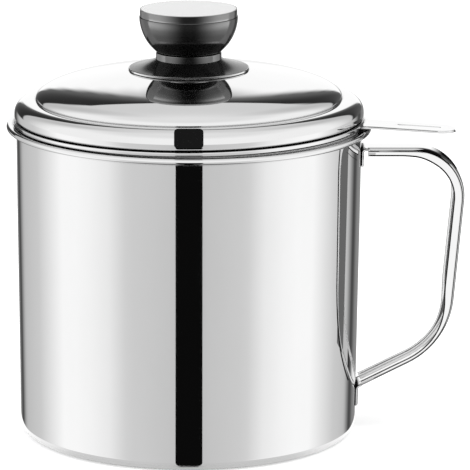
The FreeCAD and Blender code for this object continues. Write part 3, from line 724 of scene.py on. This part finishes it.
def make_lid():
    """Pressed lid: turned-in foot, rounded shoulder, a crease and the raised dome."""
    outer = rounded([(SKIRT_RADIUS, LID_FOOT),
                     (LID_RADIUS, LID_FOOT, LID_EDGE),
                     (LID_RADIUS, SHOULDER_FOOT)])
    outer[-1:] = quarter((CREASE_RADIUS, SHOULDER_FOOT), SHOULDER_WIDTH,
                         SHOULDER_TOP - SHOULDER_FOOT, SHOULDER_POWER, 40)
    outer += dome_outline(CREASE_RADIUS, DOME_RISE)
    outer += [(FLANGE_RADIUS - 0.3, APEX - SEAT_SINK), (SCREW_HOLE, APEX - SEAT_SINK)]
    inner = [(SCREW_HOLE, APEX - LID_SHEET), (FLANGE_RADIUS - 2, APEX - LID_SHEET)]
    inner += dome_outline(CREASE_RADIUS - LID_SHEET, DOME_RISE - LID_SHEET)[::-1]
    inner += quarter((CREASE_RADIUS - LID_SHEET, SHOULDER_FOOT), SHOULDER_WIDTH,
                     SHOULDER_TOP - LID_SHEET - SHOULDER_FOOT, SHOULDER_POWER, 30)[::-1]
    inner += rounded([(LID_RADIUS - LID_SHEET, SHOULDER_FOOT - 0.1),
                      (LID_RADIUS - LID_SHEET, LID_FOOT + LID_SHEET, LID_EDGE - LID_SHEET),
                      (SKIRT_RADIUS, LID_FOOT + LID_SHEET)])
    place_piece(lathe("lid_cover", outer + inner), "lid", STEEL, "lid_shell")


def make_lid_skirt():
    """Ring under the lid that centres it in the strainer."""
    inner = SKIRT_RADIUS - LID_SHEET
    middle = (inner + SKIRT_RADIUS) / 2
    outline = closed([
        (middle, SKIRT_FOOT),
        (SKIRT_RADIUS, SKIRT_FOOT, SKIRT_EDGE),
        (SKIRT_RADIUS, LID_FOOT + LID_SHEET),
        (inner, LID_FOOT + LID_SHEET),
        (inner, SKIRT_FOOT, SKIRT_EDGE),
    ])
    place_piece(lathe("lid_skirt_ring", outline), "lid", SATIN, "lid_skirt")


def make_knob_foot():
    """Flared flange with a thin bright edge, and the neck above it."""
    flare = bulge((FLANGE_RADIUS - 0.3, APEX + FLANGE_EDGE + 0.1),
                  (NECK_RADIUS + 0.15, APEX + NECK_FOOT - 0.1), FLARE_CURVE, -1)
    foot = APEX - SEAT_SINK
    outline = [(SCREW_HOLE, foot)]
    outline += rounded([(FLANGE_RADIUS - 1.2, foot), (FLANGE_RADIUS, foot, 0.2),
                        (FLANGE_RADIUS, APEX + FLANGE_EDGE, 0.3), flare[0]])
    outline += flare[1:-1]
    outline += rounded([flare[-1], (NECK_RADIUS, APEX + NECK_FOOT, 0.1),
                        (NECK_RADIUS, APEX + NECK_TOP, 0.25), (BOWL_FOOT_RADIUS - 1, APEX + NECK_TOP)])
    outline += [(SCREW_HOLE, APEX + NECK_TOP)]
    piece = lathe("knob_foot", outline)
    place_piece(piece, "lid", FOOT_PLASTIC, "knob_base")
    piece.data.materials.append(BAND)
    piece.data.materials.append(EDGE)
    back = SEAT.inverted()
    for face in piece.data.polygons:
        spot = back @ (face.center / MM)
        height = spot.z - APEX
        across = math.hypot(spot.x, spot.y)
        if NECK_FOOT - 0.02 < height < NECK_TOP and across > NECK_RADIUS - 0.2:
            face.material_index = 1
        if 0 < height and across > FLANGE_RADIUS - 0.28:
            face.material_index = 2


def make_knob_bowl():
    """Bowl of the knob, bored for the insert, with a spigot that the cap sits round."""
    foot = APEX + NECK_TOP
    top = APEX + BOWL_TOP
    outline = [(INSERT_BORE, foot + 0.02)]
    outline += bulge((BOWL_FOOT_RADIUS, foot), (BOWL_RADIUS, top - BOWL_EDGE), BOWL_CURVE, 1, 40)
    outline += [(BOWL_RADIUS - BOWL_EDGE, top), (SPIGOT_RADIUS, top), (SPIGOT_RADIUS, top + SPIGOT_HEIGHT),
                (INSERT_BORE, top + SPIGOT_HEIGHT)]
    place_piece(lathe("knob_body", outline), "lid", BOWL_PLASTIC, "knob_bowl")


def make_knob_cap():
    """Band above the parting line, hollow round the spigot, with a seat for the disc."""
    outline = rounded([
        (SPIGOT_RADIUS + DISC_GAP, APEX + BOWL_TOP),
        (CAP_RADIUS, APEX + BOWL_TOP, BOWL_EDGE),
        (CAP_RADIUS, APEX + CAP_TOP, BOWL_EDGE),
        (DISC_RADIUS + DISC_GAP, APEX + CAP_TOP, 0.04),
        (DISC_RADIUS + DISC_GAP, APEX + DISC_SEAT),
        (SPIGOT_RADIUS + DISC_GAP, APEX + DISC_SEAT),
    ])
    place_piece(lathe("knob_rim", outline), "lid", BAND, "knob_cap")


def make_knob_disc():
    """Satin disc let into the knob's top, left bare."""
    top = APEX + DISC_SEAT + DISC_SHEET
    outline = rounded([
        (0, APEX + DISC_SEAT),
        (DISC_RADIUS, APEX + DISC_SEAT),
        (DISC_RADIUS, top, 0.18),
        (DISC_RADIUS - 1.5, top),
        (0, top),
    ])
    middle = SEAT @ Vector((0, 0, top)) * MM
    piece = lathe("knob_plate", outline)
    place_piece(piece, "lid", spun_steel(middle, DISC_RADIUS * MM), "knob_disc")


def dress_kept_nodes():
    """CAD pieces whose shape is right keep it and take a finish."""
    finishes = {
        "strainer_mesh": SATIN,
        "knob_insert": BRASS,
        "knob_screw": ZINC,
        "knob_washer": ZINC,
        "knob_lock_washer": ZINC,
    }
    for node, finish in finishes.items():
        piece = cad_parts[node]
        piece.data.materials.clear()
        piece.data.materials.append(finish)


make_pot_body()
make_handle()
make_strainer_body()
make_clamp_ring()
make_tab()
make_lid()
make_lid_skirt()
make_knob_foot()
make_knob_bowl()
make_knob_cap()
make_knob_disc()
dress_kept_nodes()


# ------ camera

# The photograph's camera, as fitted to the outline of the part.
IMAGE_SIZE = 470
FOCAL_PIXELS = 4119.5
CAMERA_PLACE = Vector((-22.26, -1518.44, 426.1))
CAMERA_AIM = Vector((17.51, -0.459, 74.849))
CAMERA_ROLL = math.radians(0.354)


def make_camera():
    data = bpy.data.cameras.new("camera")
    data.sensor_width = 36
    data.lens = FOCAL_PIXELS / IMAGE_SIZE * data.sensor_width
    data.clip_end = 100
    camera = add_object("camera", data)
    look = (CAMERA_AIM - CAMERA_PLACE).to_track_quat("-Z", "Y").to_matrix()
    turn = look @ Matrix.Rotation(CAMERA_ROLL, 3, "Z")
    camera.matrix_world = Matrix.Translation(CAMERA_PLACE * MM) @ turn.to_4x4()
    bpy.context.scene.camera = camera
    return turn


CAMERA_TURN = make_camera()


def sight_line(x, y):
    """Direction in which the camera sees pixel (x, y) of the square picture."""
    half = IMAGE_SIZE / 2
    return (CAMERA_TURN @ Vector((x - half, half - y, -FOCAL_PIXELS))).normalized()


# ------ studio

SKY_RADIUS = 3000.0
SKY_STEPS = 240
FLAG_BLACK = 0.004
FLOOR_HALF = 20.0
FLOOR_LIFT = 0.2


def emission_card(name, points, faces, glows, one_sided=False):
    """Card that only reflections see, its brightness given per point; one side of it may be clear."""
    mesh = bpy.data.meshes.new(name)
    mesh.from_pydata([tuple(Vector(p) * MM) for p in points], [], faces)
    layer = mesh.color_attributes.new("glow", "FLOAT_COLOR", "POINT")
    for index, glow in enumerate(glows):
        layer.data[index].color = (glow, glow, glow, 1)
    card = add_object(name, mesh)
    material = bpy.data.materials.new(name)
    material.use_nodes = True
    nodes = material.node_tree.nodes
    nodes.clear()
    attribute = nodes.new("ShaderNodeAttribute")
    attribute.attribute_name = "glow"
    light = nodes.new("ShaderNodeEmission")
    output = nodes.new("ShaderNodeOutputMaterial")
    links = material.node_tree.links
    links.new(attribute.outputs["Color"], light.inputs["Color"])
    surface = light.outputs["Emission"]
    if one_sided:
        side = nodes.new("ShaderNodeNewGeometry")
        clear = nodes.new("ShaderNodeBsdfTransparent")
        mix = nodes.new("ShaderNodeMixShader")
        links.new(side.outputs["Backfacing"], mix.inputs["Fac"])
        links.new(surface, mix.inputs[1])
        links.new(clear.outputs["BSDF"], mix.inputs[2])
        surface = mix.outputs["Shader"]
    links.new(surface, output.inputs["Surface"])
    mesh.materials.append(material)
    for kind in ("camera", "diffuse", "transmission", "shadow", "volume_scatter"):
        setattr(card, "visible_" + kind, False)


def grid_faces(rows, columns, wrapped=False):
    """Faces of a grid of points numbered row by row."""
    last = columns if wrapped else columns - 1
    faces = []
    for row in range(rows - 1):
        for column in range(last):
            on = (column + 1) % columns
            faces.append((row * columns + column, row * columns + on,
                          (row + 1) * columns + on, (row + 1) * columns + column))
    return faces


def level_at(stops, value):
    """Straight-line reading between stops of (place, level)."""
    for (low, first), (high, last) in zip(stops, stops[1:]):
        if value <= high:
            return blend(first, last, (value - low) / (high - low))
    return stops[-1][1]


# Brightness below the horizon by degrees from the front: bright at the sides, dark near the back.
FLOOR_STOPS = ((0, 0.62), (14, 0.69), (38, 0.75), (44, 0.79), (56, 1.02), (70, 1.13), (82, 1.18),
               (95, 1.18), (109, 0.94), (122, 0.73), (144, 0.61), (148, 0.54), (158, 0.07),
               (162, 0.09), (168, 0.24), (180, 0.3))
RIGHT_LEAD, RIGHT_BACK_LEAD = 4.5, 9.0
FAR_BACK_GLOW = 0.95
NADIR_GLOW = 0.03


def floor_glow(azimuth, elevation):
    """Brightness below the horizon; the right side reaches further forward and straight down is dark."""
    turn = abs(azimuth) + RIGHT_LEAD * smooth(15, 45, azimuth) + RIGHT_BACK_LEAD * smooth(122, 140, azimuth)
    glow = level_at(FLOOR_STOPS, turn)
    glow = blend(glow, FAR_BACK_GLOW, smooth(-11.6, -9.5, elevation) * smooth(166, 173, abs(azimuth)))
    return blend(glow, NADIR_GLOW, smooth(45, 80, -elevation))


# The back of the studio is a bright panel in a dark arch. Top of the panel and outer edge of the arch by
# degrees right of the back; brightness beyond the arch by degrees from the front.
PANEL_STOPS = ((-13.5, 0), (-12, 11), (-10, 20), (-8.2, 25), (-5, 31.5), (5.5, 32), (8.5, 30.5),
               (12.2, 24), (14.2, 19), (16.4, 11.5), (18.4, 0), (21.4, -20))
ARCH_STOPS = ((-48, -20), (-42, 2), (-37.5, 15), (-33.5, 27), (-28, 37), (-21, 42), (-14, 41.5), (0, 40.5),
              (20, 41), (30, 38), (37, 29), (43, 15), (49, 2), (55, -20))
SIDE_STOPS = ((0, 1.08), (105, 1.08), (113, 0.98), (121, 0.84), (130, 0.68), (138, 0.62), (147, 0.65),
              (155, 0.75), (180, 0.77))
PANEL_GLOW = 1.14
ARCH_GLOW = 0.03
ARCH_FOOT_LIFT = 0.12
BOX_GLOW = 0.77
BOX_LIFT = 0.16


def sky_glow(azimuth, elevation):
    """Brightness of the upper studio: the back panel, the dark arch over it and the overhead box."""
    side = level_at(SIDE_STOPS, abs(azimuth))
    box = BOX_GLOW + BOX_LIFT * smooth(42, 85, elevation)
    beyond = blend(side, box, smooth(40, 80, elevation))
    off = 180 - azimuth if azimuth > 0 else -180 - azimuth
    panel_top = level_at(PANEL_STOPS, off)
    arch_edge = level_at(ARCH_STOPS, off)
    arch = ARCH_GLOW + ARCH_FOOT_LIFT * (1 - smooth(panel_top + 4, arch_edge, elevation))
    within = blend(PANEL_GLOW, arch, smooth(panel_top - 4, panel_top + 5, elevation))
    blur = 0.4 + 3.5 * smooth(18, 30, abs(off))
    return blend(within, beyond, smooth(arch_edge - blur, arch_edge + blur, elevation))


def ways_round():
    """Azimuths in degrees right of the front, all the way round, each with its x and y direction."""
    azimuths = [-180 + 360 * step / SKY_STEPS for step in range(SKY_STEPS)]
    return [(a, math.sin(math.radians(a)), -math.cos(math.radians(a))) for a in azimuths]


def make_sky_card():
    """Sphere of light round the object: the floor's glow below the horizon, the sky's above."""
    levels = [-90 + i for i in range(78)] + [-12 + i / 2 for i in range(205)]
    ways = ways_round()
    points, glows = [], []
    for elevation in levels:
        level = SKY_RADIUS * math.sin(math.radians(elevation))
        reach = SKY_RADIUS * math.cos(math.radians(elevation))
        for azimuth, x, y in ways:
            points.append((reach * x, reach * y, level))
            low = floor_glow(azimuth, elevation)
            high = sky_glow(azimuth, max(elevation, 0))
            glows.append(blend(low, high, smooth(0, 4, elevation)))
    emission_card("sky_card", points, grid_faces(len(levels), SKY_STEPS, wrapped=True), glows)


# Pale ring under the base: its reach to each side of the corner, and the elevation that the wall sees.
BASE_CARD_INNER, BASE_CARD_OUTER = 2.2, 4.0
BASE_CARD_HEIGHT = 0.3
WALL_SIGHT = -14

# The two dark patches in the steel are black flags. Each is placed so that it shows as a rounded rectangle
# given in pixels of the picture: the strip's just over the floor, the lid's just off the shoulder.
STRIP_LEFT, STRIP_RIGHT = 175.35, 202.45
STRIP_TOP, STRIP_BOTTOM = 164.6, 471.5
LID_FLAG_LEFT, LID_FLAG_RIGHT = 174.0, 203.5
LID_FLAG_TOP, LID_FLAG_BOTTOM = 128.6, 148.7
FLAG_CORNER = 4.0
FLAG_COLUMNS = 9
STRIP_FLAG_HEIGHT = 0.4
LID_FLAG_GAP = 1.2
LID_FLAG_GLOW = 0.012


def rounded_rows(left, right, top, bottom, rows):
    """Rows of (y, left, right) that cut a rounded rectangle into bands."""
    result = []
    for row in range(rows + 1):
        y = blend(top, bottom, row / rows)
        into = min(y - top, bottom - y, FLAG_CORNER)
        inset = FLAG_CORNER - math.sqrt(FLAG_CORNER ** 2 - (FLAG_CORNER - into) ** 2)
        result.append((y, left + inset, right - inset))
    return result


def make_base_card():
    """Pale ring just over the floor under the base's corner, as bright as what the wall's foot sees."""
    points, glows = [], []
    for radius in (BASE_RADIUS - BASE_CARD_INNER, BASE_RADIUS + BASE_CARD_OUTER):
        for azimuth, x, y in ways_round():
            points.append((radius * x, radius * y, BASE_CARD_HEIGHT))
            glows.append(floor_glow(azimuth, WALL_SIGHT))
    emission_card("base_card", points, grid_faces(2, SKY_STEPS, wrapped=True), glows)


def sight_lines(rows):
    """Camera rays through a patch of the picture given as rows of (y, left, right), row by row."""
    shares = [column / (FLAG_COLUMNS - 1) for column in range(FLAG_COLUMNS)]
    return [sight_line(blend(left, right, share), y) for y, left, right in rows for share in shares]


def meet_wall(way):
    """Where a camera ray first meets the pot's drafted wall, and the wall's normal there."""
    draft = (POT_RADIUS - BASE_RADIUS) / RIM_FOOT
    p = CAMERA_PLACE
    level = BASE_RADIUS + draft * p.z
    a = way.x ** 2 + way.y ** 2 - (draft * way.z) ** 2
    b = p.x * way.x + p.y * way.y - level * draft * way.z
    c = p.x ** 2 + p.y ** 2 - level ** 2
    t = (-b - math.sqrt(b ** 2 - a * c)) / a
    spot = p + way * t
    normal = Vector((spot.x, spot.y, -draft * math.hypot(spot.x, spot.y))).normalized()
    return spot, normal


def make_strip_flag():
    """Black paper just over the floor in front of the pot, which the wall shows as an upright strip."""
    rows = rounded_rows(STRIP_LEFT, STRIP_RIGHT, STRIP_TOP, STRIP_BOTTOM, 150)
    points = []
    for way in sight_lines(rows):
        spot, normal = meet_wall(way)
        bounce = way.reflect(normal)
        fall = (max(spot.z, -1) - STRIP_FLAG_HEIGHT) / -bounce.z
        points.append(spot + bounce * fall)
    emission_card("strip_flag", points, grid_faces(len(rows), FLAG_COLUMNS), [FLAG_BLACK] * len(points))


# Distances from the camera between which the shoulder is searched for.
SEARCH_NEAR, SEARCH_FAR = 1350.0, 1600.0
SEARCH_STEP = 0.5


def meet_shoulder(way):
    """Where a camera ray meets the lid's shoulder, by stepping along it in the seat frame."""
    back = SEAT.inverted()
    place = back @ CAMERA_PLACE
    aim = back.to_3x3() @ way
    height = SHOULDER_TOP - SHOULDER_FOOT

    def shares(t):
        spot = place + aim * t
        across = max(math.hypot(spot.x, spot.y) - CREASE_RADIUS, 0) / SHOULDER_WIDTH
        return spot, across, max(spot.z - SHOULDER_FOOT, 0) / height

    def outside(t):
        _, across, rise = shares(t)
        return across ** SHOULDER_POWER + rise ** SHOULDER_POWER > 1

    low = SEARCH_NEAR
    while outside(low + SEARCH_STEP) and low < SEARCH_FAR:
        low += SEARCH_STEP
    high = low + SEARCH_STEP
    for _ in range(30):
        middle = (low + high) / 2
        if outside(middle):
            low = middle
        else:
            high = middle
    spot, across, rise = shares(low)
    radial = Vector((spot.x, spot.y)).normalized()
    out = across ** (SHOULDER_POWER - 1) / SHOULDER_WIDTH
    up = rise ** (SHOULDER_POWER - 1) / height
    normal = Vector((radial.x * out, radial.y * out, up)).normalized()
    return SEAT @ spot, SEAT.to_3x3() @ normal


def make_lid_flag():
    """Small black card bent close over the front of the lid's shoulder."""
    rows = rounded_rows(LID_FLAG_LEFT, LID_FLAG_RIGHT, LID_FLAG_TOP, LID_FLAG_BOTTOM, 60)
    points = []
    for way in sight_lines(rows):
        spot, normal = meet_shoulder(way)
        points.append(spot + way.reflect(normal) * LID_FLAG_GAP)
    emission_card("lid_flag", points, grid_faces(len(rows), FLAG_COLUMNS), [LID_FLAG_GLOW] * len(points))


# Cards and flags close to the handle and the tab, which draw their contour lines.
HANDLE_CARD_FRONT = -40.0
HANDLE_CARD_LEFT, HANDLE_CARD_RIGHT = POT_RADIUS + 7, HANDLE_REACH + 12
HANDLE_CARD_FOOT = 3.0
HANDLE_CARD_GLOW = 1.17
HANDLE_SHADE_GLOW = 0.16
EDGE_FLAG_OFF = 2.5
SHOULDER_FLAG_LIFT = 0.4
SHOULDER_FLAG_OVER = 40
BEND_FLAG_WIDTH = 4.0
BEND_FLAG_LIFT = 1.1
BEND_FLAG_START, BEND_FLAG_FULL = HANDLE_REACH - 14, HANDLE_REACH - 9
TAB_FLAG_OFF = 3.0
TAB_FLAG_GLOW = 0.06
TAB_FLAG_START = RING_RADIUS + 2.5


def upright(left, right, low, high, y):
    return [(left, y, low), (right, y, low), (right, y, high), (left, y, high)]


def make_handle_card():
    """Upright card that the handle's near flange reflects; clear from the front."""
    points = upright(HANDLE_CARD_LEFT, HANDLE_CARD_RIGHT, HANDLE_CARD_FOOT, RIM_FOOT, HANDLE_CARD_FRONT)
    emission_card("handle_card", points, [(3, 2, 1, 0)], [HANDLE_CARD_GLOW] * 4, one_sided=True)


def make_handle_shade():
    """Grey card just inside the near flange, which the wall sees in the handle's place."""
    side = 1.5 - HANDLE_SIDE
    points = upright(HANDLE_REACH - 23, HANDLE_REACH - 7, LOW_HEIGHT - 8, HANDLE_TOP - 3, side)
    emission_card("handle_shade", points, [(0, 1, 2, 3)], [HANDLE_SHADE_GLOW] * 4, one_sided=True)


def beside_handle(name, section_at, glow_at, clear):
    """Card swept beside the handle's near flange, away from the wall; sections are (across, depth)."""
    path = [spot for spot in handle_path() if wall_gap(*spot) > clear]
    points, glows = [], []
    for here, inward in strip_frames(path):
        section = section_at(*here)
        for across, depth in section:
            spot = here + inward * depth
            points.append((spot.x, -across, spot.y))
            glows.append(glow_at(*here))
    emission_card(name, points, grid_faces(len(path), len(section)), glows, one_sided=True)


def make_shoulder_flag():
    """Black strip off the near shoulder: further over round the top bend, paler by the pot at the top."""
    def section(x, z):
        near_bend = smooth(HANDLE_REACH - 22, HANDLE_REACH - 16, x)
        over = SHOULDER_FLAG_OVER * near_bend * smooth(HANDLE_TOP - 7, HANDLE_TOP - 3, z)
        return arc((HANDLE_SIDE - 0.5, 1.0), EDGE_FLAG_OFF, -55, -110 - over, 8)

    def glow(x, z):
        by_pot = 1 - smooth(POT_RADIUS + 8, POT_RADIUS + 14, x)
        return FLAG_BLACK + SHOULDER_FLAG_LIFT * by_pot * smooth(60, 80, z)

    beside_handle("shoulder_flag", section, glow, 4.0)


def make_lip_flag():
    """Black strip round the near flange's lip."""
    def section(x, z):
        depth = flange_depth(x, z)
        return arc((HANDLE_SIDE - 0.3, depth - 0.6), EDGE_FLAG_OFF, 95, 28, 8)

    beside_handle("lip_flag", section, lambda x, z: FLAG_BLACK, 0.0)


def make_bend_flag():
    """Black strip just behind the handle's top bend, fading in along its outer face."""
    bend = [(here, inward) for here, inward in strip_frames(handle_path())
            if BEND_FLAG_START < here.x and here.y > HANDLE_TOP - 11]
    points, glows = [], []
    for here, inward in bend:
        fade = 1 - smooth(BEND_FLAG_START, BEND_FLAG_FULL, here.x)
        for reach in (0.1, BEND_FLAG_WIDTH):
            spot = here - inward * reach
            points.append((spot.x, HANDLE_SIDE + 0.3, spot.y))
            glows.append(FLAG_BLACK + BEND_FLAG_LIFT * fade)
    emission_card("bend_flag", points, grid_faces(len(bend), 2), glows)


def make_tab_flag():
    """Black strip below the near edge of the thumb tab."""
    points = []
    rows = 24
    for row in range(rows):
        x = blend(TAB_FLAG_START, TAB_GROOVE_END, row / (rows - 1))
        corner = (-TAB_WIDTH / 2 + TAB_EDGE, tab_surface(x, TAB_WIDTH) - TAB_SHEET + TAB_EDGE)
        points += [SEAT @ Vector((x, y, z)) for y, z in arc(corner, TAB_FLAG_OFF, 197, 300, 8)]
    emission_card("tab_flag", points, grid_faces(rows, 9), [TAB_FLAG_GLOW] * len(points))


# Graded card bent round the front of the knob: its size, how bright its middle is and how much brighter its
# ends are, between which turns in degrees it brightens, and how much later it does so at the knob's foot.
KNOB_CARD_RADIUS = 23.5
KNOB_CARD_TURN = 70.0
KNOB_CARD_FOOT, KNOB_CARD_HEIGHT = -0.3, 24.0
KNOB_CARD_GLOW, KNOB_CARD_LIFT = 0.05, 1.12
KNOB_CARD_DARK, KNOB_CARD_LIGHT = 6, 52
KNOB_CARD_LAG = 12
# Strength of the card by height above the dome: the foot, the bowl's belly, its brim, the cap.
KNOB_CARD_STOPS = ((0, 1.3), (0.9, 1.3), (1.6, 0.6), (3, 0.5), (8.6, 0.58), (13.3, 1.05), (16.5, 2.3),
                   (18, 2.3), (19.2, 1.0), (24, 1.0))


def make_knob_card():
    """Card round the front of the knob, black in the middle and white at its ends; clear from outside."""
    columns = 81
    rows = 49
    points, glows = [], []
    for row in range(rows):
        rise = KNOB_CARD_FOOT + KNOB_CARD_HEIGHT * row / (rows - 1)
        lag = KNOB_CARD_LAG * (1 - smooth(0, 5, rise))
        for column in range(columns):
            azimuth = KNOB_CARD_TURN * (1 - 2 * column / (columns - 1))
            way = math.radians(azimuth) + TAB_TURN
            across, back = math.sin(way), -math.cos(way)
            points.append(SEAT @ Vector((KNOB_CARD_RADIUS * across, KNOB_CARD_RADIUS * back, APEX + rise)))
            light = smooth(KNOB_CARD_DARK + lag, KNOB_CARD_LIGHT + lag, abs(azimuth))
            glows.append((KNOB_CARD_GLOW + KNOB_CARD_LIFT * light) * level_at(KNOB_CARD_STOPS, rise))
    emission_card("knob_card", points, grid_faces(rows, columns), glows, one_sided=True)


def make_floor():
    """Plain pale floor; the world behind it is the same white."""
    mesh = bpy.data.meshes.new("floor")
    corners = [(FLOOR_HALF * x, FLOOR_HALF * y, 0) for x, y in ((-1, -1), (1, -1), (1, 1), (-1, 1))]
    mesh.from_pydata(corners, [], [(0, 1, 2, 3)])
    floor = add_object("floor", mesh)
    pale = Finish("floor", (0.97, 0.97, 0.97), 0.0)
    pale.inputs["Roughness"].default_value = 0.9
    pale.inputs["Specular IOR Level"].default_value = 0.0
    pale.inputs["Emission Color"].default_value = (1, 1, 1, 1)
    ray = pale.node("LightPath").outputs
    mirrored = pale.combined("MAXIMUM", ray["Is Glossy Ray"], ray["Is Transmission Ray"])
    seen = pale.combined("MAXIMUM", ray["Is Camera Ray"], mirrored)
    pale.feed("Emission Strength", pale.ranged(seen, 0, FLOOR_LIFT, 0, 1))
    mesh.materials.append(pale.material)
    floor.visible_glossy = False


def make_lights():
    world = bpy.data.worlds.new("studio")
    bpy.context.scene.world = world
    world.use_nodes = True
    background = world.node_tree.nodes["Background"]
    background.inputs["Color"].default_value = (1, 1, 1, 1)
    background.inputs["Strength"].default_value = 1.0
    data = bpy.data.lights.new("overhead", "AREA")
    data.shape = "DISK"
    data.size = 1.4
    data.energy = 12
    lamp = add_object("overhead", data)
    lamp.location = (0.2, -0.3, 1.8)
    lamp.rotation_euler = (-lamp.location).to_track_quat("-Z", "Y").to_euler()
    lamp.visible_glossy = False


make_sky_card()
make_base_card()
make_strip_flag()
make_lid_flag()
make_handle_card()
make_handle_shade()
make_shoulder_flag()
make_lip_flag()
make_bend_flag()
make_tab_flag()
make_knob_card()
make_floor()
make_lights()
bpy.context.scene.view_settings.view_transform = "Standard"
